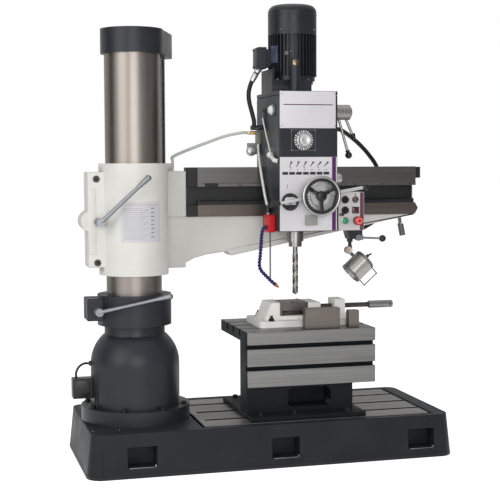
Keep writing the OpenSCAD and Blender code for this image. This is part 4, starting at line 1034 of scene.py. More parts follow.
@dataclass
class Arm:
    """The arm with its ways, rack and plates."""

    frame: Frame
    plate_angles: Pair = (-120.5, -52.0)
    plate_z: Pair = (957.0, 1129.0)
    sleeve_r: float = 150.0

    def build(self) -> None:
        """Dresses the arm and makes its trim."""
        frame = self.frame
        frame.soften("arm_casting", CREAM, Body.ARM, "cream_paint", 6.0)
        frame.soften("upper_way", WAY, Body.ARM, "way_iron", 1.5)
        frame.soften("lower_way", LOWER, Body.ARM, "way_iron", 1.5)
        frame.soften("way_end_guards", BLACK, Body.ARM, "black_metal", 2.5)
        frame.paint(BLACK, "traverse_rack")
        frame.paint(HANDLE, "arm_handle")
        frame.paint(BRASS, "lift_nut")
        frame.paint(SATIN, "arm_clamp_lever")
        self.data_plate()
        self.screws()

    def data_plate(self) -> None:
        """Makes the bare plate on the sleeve, with plain ruled lines and four rivets."""
        a, b = self.plate_angles
        low, high = self.plate_z
        Form().curved_plate(self.sleeve_r + 0.05, (a, b), (low, high), 0.8).place(
            "data_plate", LABEL, Body.ARM, "panel_paint")
        lines = Form()
        face, ink = self.sleeve_r + 0.8, 0.25
        for k in range(16):
            z = low + 14 + k * 8.6
            lines.curved_plate(face, (a + 5, a + 36 + 5 * (k % 3)), (z, z + 1.5), ink, 12)
            if k % 2:
                lines.curved_plate(face, (a + 50, a + 56), (z - 2.0, z + 3.6), ink, 4)
        lines.curved_plate(face, (a + 5, b - 5), (high - 14, high - 12.4), ink, 16)
        lines.place("data_rules", RULE, Body.ARM, "panel_paint")
        rivets = Form()
        for out in (outward(a + 2.5), outward(b - 2.5)):
            for z in (low + 6, high - 6):
                at = out * (self.sleeve_r + 0.7)
                rivets.lathe([(0, 1.5), (1.6, 1.2), (2.6, 0.2), (2.6, -0.3)], (at.x, at.y, z), out,
                             14)
        rivets.place("data_rivets", BRIGHT, Body.ARM, "bright_steel")

    def screws(self) -> None:
        """Makes the clamp screws in the ears, the screws along the upper way and their covers."""
        form = Form()
        for x, z in ((-169.0, 1225.0), (-167.0, 868.0)):
            form.lathe([(15, 0), (15, 1.2), (12, 1.4), (12, -0.5)], (x, -62, z), Axis.FRONT, 28)
            socket_screw(form, (x, -61.5, z), Axis.FRONT, 11.0, 4.0)
        form.place("ear_screws", BLACK, Body.ARM, "black_metal")
        row = Form()
        for k in range(8):
            socket_screw(row, (372 + 138 * k, 120.0, 1191), Axis.FRONT, 4.6, 0.25)
        row.place("way_screws", BLACK, Body.ARM, "black_metal")
        Form().block((346, 119.74, 1184.5), (408, 119.94, 1200)).place(
            "way_lip_cover", BLACK, Body.ARM, "black_metal")
        Form().block((-203, -65, 905), (-172, -61.5, 1185), 1.6).place(
            "ear_panel", CREAM, Body.ARM, "cream_paint")


@dataclass
class Head:
    """The drill head with its plates, dial, feed and levers."""

    frame: Frame
    left: float = 616.0
    right: float = 884.0
    front: float = -147.0
    panel_front: float = -150.0
    feed: Pair = (782.0, 1147.0)
    feed_y: float = -195.0
    feed_lean: float = 9.6
    dial: Pair = (726.0, 1389.0)
    dial_marks: int = 24
    dial_ribs: int = 20
    sight: Pair = (663.0, 1121.0)
    wheel_r: float = 88.0
    wheel_y: float = -230.0
    wheel_scallops: int = 30
    gear_hub: Pair = (-70.0, 1514.0)
    breather: Pair = (-58.0, 1522.0)
    lube_joint: Point = (604.0, -43.0, 1325.0)

    def build(self) -> None:
        """Dresses the head and makes its trim."""
        frame = self.frame
        frame.soften("head_casting", DARK, Body.HEAD, "dark_paint", 5.0)
        frame.soften("head_cover", DARK, Body.HEAD, "dark_paint", 4.0)
        frame.soften("feed_panel", PANEL_AND_SHADE, Body.HEAD, "panel_paint", 0.8)
        frame.paint(LAMP_METAL, "gear_lever_long", "gear_lever_short")
        frame.paint(SPINDLE, "spindle", "quill")
        frame.paint(TOOL, "drill_bit")
        frame.paint(DIAL_METAL, "feed_hub")
        frame.paint(STEEL, "bull_gear", "motor_rotor")
        self.name_plate()
        self.dial_face()
        self.panel_marks()
        self.sight_glass()
        self.handwheel()
        self.grips()
        self.side_trim()

    def name_plate(self) -> None:
        """Makes the bare plate at the top of the front."""
        y = self.front
        Form().block((self.left + 2, y - 2.6, 1441), (self.right - 10, y, 1601), 1.0).place(
            "top_plate", PANEL_AND_SHADE, Body.HEAD, "panel_paint")
        Form().block((self.left + 18, y - 2.9, 1541), (self.right - 24, y - 2.5, 1545)).place(
            "top_plate_line", PURPLE, Body.HEAD, "panel_paint")
        rivets = Form()
        for x in (self.left + 11, self.right - 14):
            for z in (1452, 1590):
                rivets.lathe([(0, 1.6), (2.4, 1.3), (3.6, 0.2), (3.6, -0.4)], (x, y - 2.5, z),
                             Axis.FRONT, 16)
        rivets.place("top_plate_rivets", STEEL, Body.HEAD, "ground_steel")

    def dial_face(self) -> None:
        """Makes the dial's square plate and its outline, and the dial with its marks and knob."""
        x, z = self.dial
        y = self.front
        Form().block((x - 56, y - 0.25, z - 46), (x + 56, y, z + 46)).place(
            "dial_plate", INK, Body.HEAD, "black_metal")
        outline = Form()
        for dx in (-54, 54):
            for dz in (-44, 44):
                outline.lathe([(0, 1.2), (1.8, 1.0), (2.6, 0.2), (2.6, 0.0)],
                              (x + dx, y - 0.2, z + dz), Axis.FRONT, 14)
        for low, high in (((-55, 44.2), (55, 45)), ((-55, -45), (55, -44.2)),
                          ((-55, -45), (-54.2, 45)), ((54.2, -45), (55, 45))):
            outline.block((x + low[0], y - 0.45, z + low[1]), (x + high[0], y - 0.2, z + high[1]))
        outline.place("dial_outline", RULE, Body.HEAD, "panel_paint")
        Form().lathe([(0, 0.4), (43.5, 0.4), (44.8, 1.4), (44.8, 5.6), (43.8, 6.4), (0, 6.4)],
                     (x, y, z), Axis.FRONT, 64).place(
            "dial_disc", PLASTIC, Body.DIAL, "bright_steel", ["speed_dial"])
        marks = Form()
        for k in range(self.dial_marks):
            turn = Matrix.Rotation(math.tau * k / self.dial_marks, 4, "Y")
            half, inner = (2.5, 33) if k % 2 else (3.3, 31)
            tick = Form().block((-half, -7.2, inner), (half, -6.2, 43.6), 0.3)
            marks.take(tick.move(Matrix.Translation(mm((x, y, z))) @ turn).bm)
        marks.lathe([(30.5, 6.2), (30.5, 7.6), (27, 10), (26.8, 30), (24.5, 33.6), (17, 35),
                     (14, 33.6), (0, 33.6)], (x, y, z), Axis.FRONT, 64)
        marks.rod((x, y - 13, z), (x, y + 14, z), 6.0, sides=20)
        for c, s in around(self.dial_ribs):
            a, b = x + 26.6 * c, z + 26.6 * s
            marks.rod((a, y - 14, b), (a, y - 31, b), 2.3, 1.6, sides=10, round_by=0.6)
        marks.place("speed_knob", DIAL_METAL, Body.DIAL, "bright_steel")

    def panel_marks(self) -> None:
        """Makes the stripe, the row of plain drill marks and the dark strip of the feed panel."""
        y = self.panel_front
        Form().block((857, y - 0.4, 994), (875, y, 1315.5)).place(
            "panel_stripe", PURPLE, Body.HEAD, "panel_paint")
        marks = Form()
        for k in range(6):
            x = 666 + 32.6 * k
            bit = Form().rod((0, 0, -14), (0, 0, 9), 1.0, 3.0, sides=8)
            bit.block((-4.6, -0.9, 9), (4.6, 0.9, 14))
            if k % 2 == 0:
                bit.block((4.5, -0.9, -15), (9.5, 0.9, -11.5))
            turn = Matrix.Rotation(math.radians(20 + 5 * k), 4, "Y")
            lean = Matrix.Diagonal((1.0, 0.14, 1.0, 1.0)) @ turn
            marks.take(bit.move(Matrix.Translation(mm((x, y - 0.1, 1284))) @ lean).bm)
            marks.block((x - 3, y - 0.3, 1259), (x + 3, y, 1262))
        for k in range(7):
            marks.block((629 + 31.4 * k, y - 0.3, 1239), (655 + 31.4 * k, y, 1251))
        marks.block((651, y - 0.3, 1178), (652.6, y, 1198))
        marks.place("panel_marks", INK, Body.HEAD, "black_plastic")

    def sight_glass(self) -> None:
        """Makes the oil sight glass: black ring and face, and the light window across it."""
        x, z = self.sight
        Form().lathe([(38.4, 0.0), (38.4, 9.0), (36.5, 11.6), (32, 11.6), (29.5, 9.4), (29.5, 6.4),
                      (0, 6.4)], (x, self.panel_front, z), Axis.FRONT, 56).place(
            "sight_ring", PLASTIC, Body.HEAD, "black_plastic")
        window = Form().block((x - 25.5, -158.2, z - 13), (x + 25.5, -155.6, z + 17), 1.6, 3)
        window.block((x - 19, -158.2, z + 16), (x + 19, -155.6, z + 21), 1.6, 3)
        window.place("sight_window", LENS, Body.HEAD, "panel_paint")
        Form().block((x - 9, -158.8, z - 12), (x + 9, -157.6, z - 4), 0.4).place(
            "sight_level", RULE, Body.HEAD, "black_plastic")

    def handwheel(self) -> None:
        """Makes the handwheel: steel rim, black grip ring with finger scallops, spokes and hub."""
        x, z = self.feed
        y, r = self.wheel_y, self.wheel_r
        centre = (x, y, z)
        ring = [(r - 6.5 + 6.5 * c, 7 * s) for c, s in around(16)]
        Form().lathe(ring, centre, Axis.FRONT, 72, closed=True).place(
            "wheel_rim", STEEL, Body.WHEEL, "bright_steel", ["handwheel"])
        grip = Form()
        inner = [(r - 16.5 + 6 * c, 7.2 * s) for c, s in around(12)]
        grip.lathe(inner, centre, Axis.FRONT, 72, closed=True)
        for c, s in around(self.wheel_scallops):
            grip.ball((x + (r - 21) * c, y, z + (r - 21) * s), 5.2, 12)
        flat = Matrix.Translation(mm((57, 0, 0))) @ Matrix.Diagonal((1.0, 0.42, 1.0, 1.0))
        level = Matrix.Rotation(math.pi / 2, 4, "Y") @ Matrix.Rotation(math.pi / 4, 4, "Z")
        for degrees in (30, 150, 270):
            spoke = Form().block((8, -4.5, -8), (40, 4.5, 8), 2.4)
            flare = bmesh.ops.create_cone(
                spoke.bm, cap_ends=True, segments=4, radius1=9.5 * MM, radius2=17.5 * MM,
                depth=38 * MM, matrix=flat @ level)["verts"]
            spoke.bevel({e for v in flare for e in v.link_edges}, 1.6, 2)
            turn = Matrix.Rotation(-math.radians(degrees), 4, "Y")
            grip.take(spoke.move(Matrix.Translation(mm(centre)) @ turn).bm)
        grip.lathe([(0, 13), (14, 13), (20, 11), (22, 7), (22, -14), (0, -14)], centre, Axis.FRONT,
                   40)
        grip.place("wheel_grip", PLASTIC, Body.WHEEL, "black_plastic")
        nut = Form().lathe([(0, 17), (5, 16.5), (8.5, 13), (8.5, 12.5)], centre, Axis.FRONT, 24)
        nut.place("wheel_nut", BLACK, Body.WHEEL, "black_metal")

    def grips(self) -> None:
        """Makes the black grips of the feed levers and the balls of the gear levers."""
        x, z = self.feed
        lean = math.radians(self.feed_lean)
        out = Vector((math.cos(lean), 0.0, math.sin(lean)))
        centre = Vector((x, self.feed_y, z))
        form = Form()
        start = centre - out * 181.0
        form.lathe([(0, -2), (8, -2), (11.8, 1.5), (12.7, 6), (12.9, 14), (11.7, 20), (12.9, 26),
                    (12.9, 38), (12, 44), (8, 47), (0, 48)], start, -out, 28)
        end = centre + out * 210.0
        form.lathe([(0, -6), (8, -6), (13.2, -1), (14.6, 7), (12.6, 15), (7, 19.6), (0, 21)], end,
                   out, 28)
        form.place("feed_grips", PLASTIC, Body.FEED, "black_plastic")
        ball = Form().ball((962.8, -70, 1324), 15.6)
        ball.lathe([(0, 0), (9, 0), (10.5, 8), (0, 8)], (959.3, -70, 1338),
                   Vector((-0.236, 0, 0.97)), 24)
        ball.place("gear_ball", PLASTIC, Body.GEAR_LONG, "black_plastic")
        Form().lathe([(0, -6), (7, -6), (9.4, -2), (9.8, 16), (7, 22), (0, 23)], (986, -70, 1400),
                     Vector((-0.14, 0, 0.99)), 24).place(
            "gear_knob", PLASTIC, Body.GEAR_SHORT, "black_plastic")
        self.hub_ridges()

    def hub_ridges(self) -> None:
        """Makes the dark rings round the gear levers' hubs and the rounded end of the outer one."""
        for body, first in ((Body.GEAR_LONG, 900.5), (Body.GEAR_SHORT, 934.0)):
            rings = Form()
            for k in range(5):
                x = first + 6.4 * k
                rings.lathe([(32.5, 0), (33.7, 0.6), (33.7, 2.2), (32.5, 2.8)], (x, *self.gear_hub),
                            Axis.RIGHT, 40)
            rings.place(f"{body.value}_rings", HANDLE, body, "black_metal")
        Form().lathe([(0, 12), (12, 11), (22, 7.5), (28, 2), (29, -0.6)], (964.6, *self.gear_hub),
                     Axis.RIGHT, 36).place(
            "gear_hub_end", LAMP_METAL, Body.GEAR_SHORT, "ground_steel")

    def side_trim(self) -> None:
        """Makes the breather, oil cap, lubrication joint and plate on the head's sides."""
        breather = (self.left, *self.breather)
        Form().lathe([(0, 26), (9, 24.5), (16, 20), (20, 13), (20.5, 8)], breather, Axis.LEFT,
                     36).place("breather_dome", WHITE, Body.HEAD, "pale_plastic")
        Form().lathe([(20.4, 9), (25, 9), (26.5, 7), (26.5, -1)], breather, Axis.LEFT, 36).place(
            "breather_collar", HANDLE, Body.HEAD, "ground_steel")
        Form().lathe([(0, 31), (13, 30), (20, 26), (22.5, 18), (22.5, 6), (25, 5), (25, -1)],
                     (self.right, -112, 1221), Axis.RIGHT, 36).place(
            "oil_cap", DIAL_METAL, Body.HEAD, "bright_steel")
        joint = Form().ball(self.lube_joint, 14.4)
        joint.rod(self.lube_joint, (self.left, *self.lube_joint[1:]), 10, sides=24)
        joint.rod(self.lube_joint, (604, -116, 1301), 8.5, 9.5, sides=24, round_by=2)
        joint.rod((604, -112, 1302), (617, -124, 1298), 9.5, sides=24, round_by=2)
        joint.place("lube_fitting", WHITE, Body.HEAD, "pale_plastic")
        plate = Form().block((612.5, 60, 1455), (self.left, 112, 1535), 1.2)
        for z in (1464, 1526):
            socket_screw(plate, (612.5, 86, z), Axis.LEFT, 5.5, 4)
        plate.place("side_plate", DARK, Body.HEAD, "dark_paint")


@dataclass
class Motor:
    """The spindle motor and what stands beside it."""

    frame: Frame
    axis: Pair = (766.0, 144.5)
    radius: float = 111.0

    def build(self) -> None:
        """Dresses the motor and makes its trim."""
        frame = self.frame
        frame.paint(DARK, "motor_housing")
        frame.soften("fan_cover", DARK, Body.HEAD, "dark_paint", 1.0)
        frame.soften("terminal_box", DARK, Body.HEAD, "dark_paint", 5.0)
        frame.paint(DARK, "spindle_tube")
        self.box_trim()
        self.body_trim()

    def box_trim(self) -> None:
        """Makes the terminal box's lid with its screws, and the cable gland under it."""
        y = self.axis[1]
        lid = Form().block((589.5, y - 38, 1719), (593.5, y + 38, 1809), 1.8)
        for dy in (-31, 31):
            for z in (1726, 1802):
                socket_screw(lid, (589.6, y + dy, z), Axis.LEFT, 4.2, 2.6)
        lid.place("terminal_lid", DARK, Body.HEAD, "dark_paint")
        start, end = Vector((613.0, 150.0, 1725.0)), Vector((594.0, 150.0, 1694.0))
        long = (end - start).length
        gland = Form()
        gland.lathe([(13.4, 1), (13.4, 8), (16, 8.5), (16, 18), (13.8, 18.5), (13.8, long - 7),
                     (12, long - 2), (10.2, long + 0.4)], start, end - start, 12)
        outer = end + Vector((-19.0, 0.0, -34.0))
        gland.rod(end, outer, 14.5, 12.4, sides=12, round_by=2)
        gland.place("motor_gland", DIAL_METAL, Body.HEAD, "ground_steel")

    def body_trim(self) -> None:
        """Makes the bronze cap, bare plate, lifting eye, fan cover's bead and screws."""
        x, y = self.axis
        r = self.radius
        Form().lathe([(18, -2), (18, 2), (16.3, 3), (16.3, 22), (14, 25), (9, 26), (9, 31), (7, 34),
                      (0, 34)], (734, 0, 1725), Axis.UP, 28).place(
            "tube_cap", BRONZE, Body.HEAD, "bronze")
        plate = Form().curved_plate(r + 0.3, (193, 217), (1742, 1818), 1.0, 10)
        plate.move(Matrix.Translation(mm((x, y, 0))))
        plate.place("motor_plate", NAMEPLATE, Body.HEAD, "dark_paint")
        Form().lathe([(r - 0.4, 0), (r + 0.9, 1.4), (r + 0.9, 4.6), (r - 0.4, 6)], (x, y, 1957),
                     Axis.UP, 72).place("fan_cover_bead", DARK, Body.HEAD, "dark_paint")
        bolts = Form()
        for degrees, z, size in ((240, 1783, 10.0), (249, 1791, 4.4)):
            out = outward(degrees)
            at = Vector((x, y, z)) + out * (r - 15)
            ring = [(size - 2.4 + 2.4 * c, 15.6 + 2.4 * s) for c, s in around(10)]
            bolts.lathe(ring, at, out, 24, closed=True)
            bolts.rod(at, at + out * 14.5, size * 0.6, sides=16)
        for corner in ((647, 50), (667, 50), (812, 50)):
            socket_screw(bolts, (*corner, 1663), Axis.UP, 5.5, 5.5)
        for out in (outward(225), outward(315)):
            bolts.lathe([(0, 3), (4, 2.6), (5.4, 0.4), (5.4, -0.6)], Vector((x, y, 1890)) + out * r,
                        out, 14)
        bolts.place("motor_screws", HANDLE, Body.HEAD, "ground_steel")


@dataclass
class Controls:
    """The control box, its buttons and the work lamp."""

    frame: Frame
    front: float = -130.0
    left_column: float = 925.0
    right_column: float = 974.0
    rows: Point = (1127.0, 1080.0, 1033.0)
    lamp_ribs: int = 22
    lamp_back: Point = (1038.0, -90.0, 858.0)
    lamp_lean: float = -132.0

    def build(self) -> None:
        """Dresses the box and the lamp and makes their trim."""
        frame = self.frame
        frame.soften("control_box", BOX_PAINT, Body.HEAD, "panel_paint", 2.5)
        frame.paint(PLASTIC, "selector_upper", "selector_lower")
        frame.paint(GREEN, "start_button")
        frame.paint(SIGNAL, "stop_button")
        frame.paint(SATIN, "spindle_lever")
        frame.paint(BLACK, "lamp_arm")
        frame.paint(HANDLE, "lamp_head")
        self.faces()
        self.lamp()

    def faces(self) -> None:
        """Makes the box's bezels, lenses, rings, button faces and strips, and the lever's ball."""
        y = self.front
        high, middle, low = self.rows
        left, right = self.left_column, self.right_column
        bezels = Form()
        for x, z, r in ((left, high, 17), (left, middle, 17), (right, high, 15)):
            bezels.lathe([(r - 3.5, 0), (r - 3.5, 2.2), (r - 1, 2.2), (r, 1), (r, 0)], (x, y, z),
                         Axis.FRONT, 32)
        bezels.block((right - 16, y - 2.4, middle - 15), (right + 16, y, middle + 15), 1.0)
        stop_x = right + 8
        bezels.lathe([(10, 0), (10, 8.2), (17, 8.2), (19.5, 6.4), (20, 0)], (stop_x, y, low),
                     Axis.FRONT, 36)
        bezels.place("button_bezels", PLASTIC, Body.HEAD, "black_plastic")
        lenses = Form()
        lenses.lathe([(0, 12.5), (6, 11.6), (10, 9), (11.4, 5), (11.4, 0)], (right, y, high),
                     Axis.FRONT, 28)
        lenses.block((right - 13.5, y - 6, middle - 12.5), (right + 13.5, y - 1, middle + 12.5),
                     1.2)
        lenses.block((898, y - 5, 1055), (919, y, 1067), 1.2)
        lenses.block((970, y - 2.4, 1147), (977, y, 1152), 0.8)
        lenses.place("indicator_lenses", LENS_RED, Body.HEAD, "red_plastic")
        rings = Form()
        rings.lathe([(14.4, 0), (14.4, 3), (16.6, 2.4), (17.2, 0)], (left, y, low), Axis.FRONT, 32)
        rings.place("button_rings", STEEL, Body.HEAD, "ground_steel")
        Form().lathe([(0, 12.6), (9, 12.4), (12.6, 10.6), (13.8, 7.6), (13.8, 4.4), (10.8, 4.4)],
                     (left, y, low), Axis.FRONT, 32).place(
            "start_cap", GREEN, Body.START, "green_plastic")
        Form().lathe([(0, 3.5), (10, 3.2), (17.5, 1.4), (19.2, -1.5)], (stop_x, y - 28.5, low),
                     Axis.FRONT, 36).place("stop_crown", SIGNAL, Body.STOP, "red_plastic")
        Form().lathe([(10.5, 0.0), (10.5, 0.7), (12, 0.7), (12, 0.0)], (stop_x, y - 31.2, low),
                     Axis.FRONT, 36).place("stop_ring", MARK, Body.STOP, "panel_paint")
        Form().block((995, y - 0.6, 991.5), (1012.4, y + 0.4, 1158.5), 0.2).place(
            "box_stripe", MAGENTA, Body.HEAD, "panel_paint")
        Form().block((884.5, y - 0.8, 992), (894, y + 0.4, 1158), 0.3).place(
            "box_seal", RUBBER, Body.HEAD, "black_plastic")
        Form().ball((1101, -134, 952), 15.6).place(
            "switch_ball", PLASTIC, Body.SWITCH, "black_plastic")

    def lamp(self) -> None:
        """Makes the lamp's ribbed shell, bands, glass, pivot and toggle."""
        lean = math.radians(self.lamp_lean)
        aim = Vector((math.sin(lean), 0.0, math.cos(lean)))
        back = Vector(self.lamp_back)
        shell = Form()
        shell.lathe([(0, -2.5), (40, -2.5), (46, -1), (48.6, 2), (48.6, 90), (50.4, 91),
                     (50.4, 97.5), (48.5, 98.6), (45.2, 98.6), (44.6, 92)], back, aim, 56)
        side = Vector((aim.z, 0.0, -aim.x))
        for c, s in around(self.lamp_ribs):
            at = back + (side * c + Axis.BACK.value * s) * 48.4
            shell.rod(at + aim * 14, at + aim * 89, 1.3, sides=8)
        shell.place("lamp_shell", LAMP_METAL, Body.LAMP, "ground_steel")
        collar = Form().lathe([(48.4, 3), (49.6, 4), (49.6, 12), (48.4, 13)], back, aim, 56)
        collar.lathe([(50.2, 91.5), (51, 92.5), (51, 96.5), (50.2, 97.5)], back, aim, 56)
        collar.place("lamp_bands", HANDLE, Body.LAMP, "ground_steel")
        Form().lathe([(0, 90.5), (24, 91.2), (44.8, 92)], back, aim, 48).place(
            "lamp_glass", LAMP_GLASS, Body.LAMP, "panel_paint")
        pivot = Form()
        pivot.lathe([(0, 4.4), (3, 4), (4, 2.6), (12, 2.4), (13.4, 3.2), (16, 3), (17.2, 1),
                     (17.2, 0)], (954, -100, 900), Axis.FRONT, 32)
        pivot.place("lamp_pivot", ZINC, Body.LAMP, "bronze")
        toggle = Form()
        toggle.rod((1040, -90, 862), (1050, -90, 876), 8, 6.5, sides=20, round_by=1.5)
        toggle.rod((1049, -90, 874), (1066, -90, 880), 3.6, 4.4, sides=14, round_by=1)
        toggle.place("lamp_toggle", PLASTIC, Body.LAMP, "black_plastic")


@dataclass
class Coolant:
    """The coolant valve, block and nozzle."""

    frame: Frame
    nozzle: Sequence[Point] = ((586, -50, 1006), (574, -50, 1006), (564, -50, 978), (560, -50, 930),
                               (556, -50, 880), (552, -50, 840), (560, -50, 815), (583, -50, 790),
                               (608, -50, 765), (626, -50, 750))
    beads: int = 22

    def build(self) -> None:
        """Dresses the solids and makes the segmented hose, the valve's wheel and the fittings."""
        frame = self.frame
        frame.soften("coolant_block", RED, Body.HEAD, "red_paint", 4.0)
        frame.soften("coolant_valve", VALVE_GREY, Body.HEAD, "ground_steel", 1.5)
        self.segments()
        knob = Form()
        knob.lathe([(0, 0), (21, 0), (23, 2), (23, 9), (20, 14), (20, 20), (17, 25), (0, 26.5)],
                   (573, 164.5, 1345), Axis.FRONT, 40)
        knob.place("valve_wheel", BRIGHT, Body.VALVE, "ground_steel", ["valve_knob"])
        barb = Form()
        profile: list[Pair] = [(0, 0), (7.2, 0)]
        for k in range(4):
            profile += [(8.6, 4 + 8 * k), (7.4, 9 + 8 * k)]
        barb.lathe([*profile, (10, 36), (10, 42), (0, 42)], (558, 160, 1428), Axis.RIGHT, 24)
        barb.place("hose_barb", BRASS, Body.HEAD, "bronze")
        Form().lathe([(6.2, -4), (12.5, -4), (13.4, 0), (13.4, 14), (11, 18), (11, 27), (8, 30),
                      (6.2, 30)], (603, -14, 1074), Axis.UP, 28).place(
            "tube_fitting", PLASTIC, Body.HEAD, "black_plastic")
        Form().rod((608, -30, 780), (608, -30, 985), 3.6, sides=16).place(
            "drip_tube", HANDLE, Body.HEAD, "pale_plastic")
        Form().lathe([(0, 0), (8, 0), (9, 4), (9, 12), (0, 12)], (594, -50, 1006), Axis.LEFT,
                     24).place("nozzle_socket", PLASTIC, Body.HEAD, "black_plastic")

    def segments(self) -> None:
        """Makes the ball-jointed nozzle hose, bead by bead, and its tip."""
        path = smooth_route(self.nozzle, 12)
        total = route_length(path)
        step = total / self.beads
        form = Form()
        for k in range(self.beads):
            at, along = self._walk(path, (k + 0.5) * step)
            half = step / 2 * PER_METRE
            form.lathe([(3.4, -half), (5.2, -half), (8.8, -half * 0.5), (9.0, half * 0.1),
                        (6.6, half * 0.6), (5.0, half), (3.4, half)], at * PER_METRE, along, 18,
                       closed=True)
        made = form.place("nozzle_segments", BLUE, Body.HEAD, "blue_plastic", ["nozzle_hose"])
        aim = (path[-1] - path[-3]).normalized()
        tip = Form().lathe([(4, -2), (9, -2), (9, 2), (6, 8), (4.6, 19), (3.2, 19), (3.2, 0)],
                           path[-1] * PER_METRE, aim, 24, closed=True).place(
            "nozzle_tip", ORANGE, Body.HEAD, "red_plastic")

    @staticmethod
    def _walk(path: Sequence[Vector], distance: float) -> tuple[Vector, Vector]:
        """Finds the point and direction at a distance along a path.

        Args:
            path: Points in metres.
            distance: Distance from the start.

        Returns:
            The point and the direction there.
        """
        for a, b in zip(path, path[1:]):
            length = (b - a).length
            if distance <= length:
                return a + (b - a) * (distance / length), (b - a).normalized()
            distance -= length
        return path[-1], (path[-1] - path[-2]).normalized()


@dataclass
class TableAndVise:
    """The box table, the vise and the loose blocks."""

    frame: Frame
    foot_top: float = 205.0
    foot_bolts: tuple[Pair, ...] = ((500, -243), (653, -243), (896, -243), (500, 188), (896, 188))
    vise_bolts: tuple[Pair, ...] = ((603, -66), (603, 154))
    flange_top: float = 589.0
    washer_h: float = 2.5

    def build(self) -> None:
        """Dresses the table and the vise and makes the bolts."""
        frame = self.frame
        frame.soften("work_table", TABLE_PAINT, Body.BASE, "table_iron", 2.0)
        frame.soften("vise_body", VISE_PAINT, Body.BASE, "cream_paint", 2.5)
        frame.soften("vise_moving_jaw", VISE_PAINT, Body.VISE_JAW, "cream_paint", 2.0)
        frame.paint(VISE_SCREW, "vise_screw")
        frame.soften("setup_blocks", BLOCK, Body.BASE, "way_iron", 1.5)
        form = Form()
        for x, y in self.foot_bolts:
            seat = (x, y, self.foot_top)
            washer(form, seat, 15, self.washer_h)
            form.lathe([(0, 2.5), (11.5, 2.5), (11.5, 11), (10, 12.5), (0, 12.5)], seat, Axis.UP, 6)
        form.place("foot_bolts", BLACK, Body.BASE, "black_metal", ["table_bolts"])
        nuts = Form()
        for x, y in self.vise_bolts:
            z = self.flange_top
            washer(nuts, (x, y, z), 14, self.washer_h)
            nuts.lathe([(0, 2), (12.5, 2), (12.5, 11), (11, 12.5), (0, 12.5)], (x, y, z), Axis.UP,
                       6)
            nuts.rod((x, y, z + 11), (x, y, z + 24), 6.5, sides=18, round_by=1.2)
        nuts.place("vise_nuts", BLACK, Body.BASE, "black_metal")


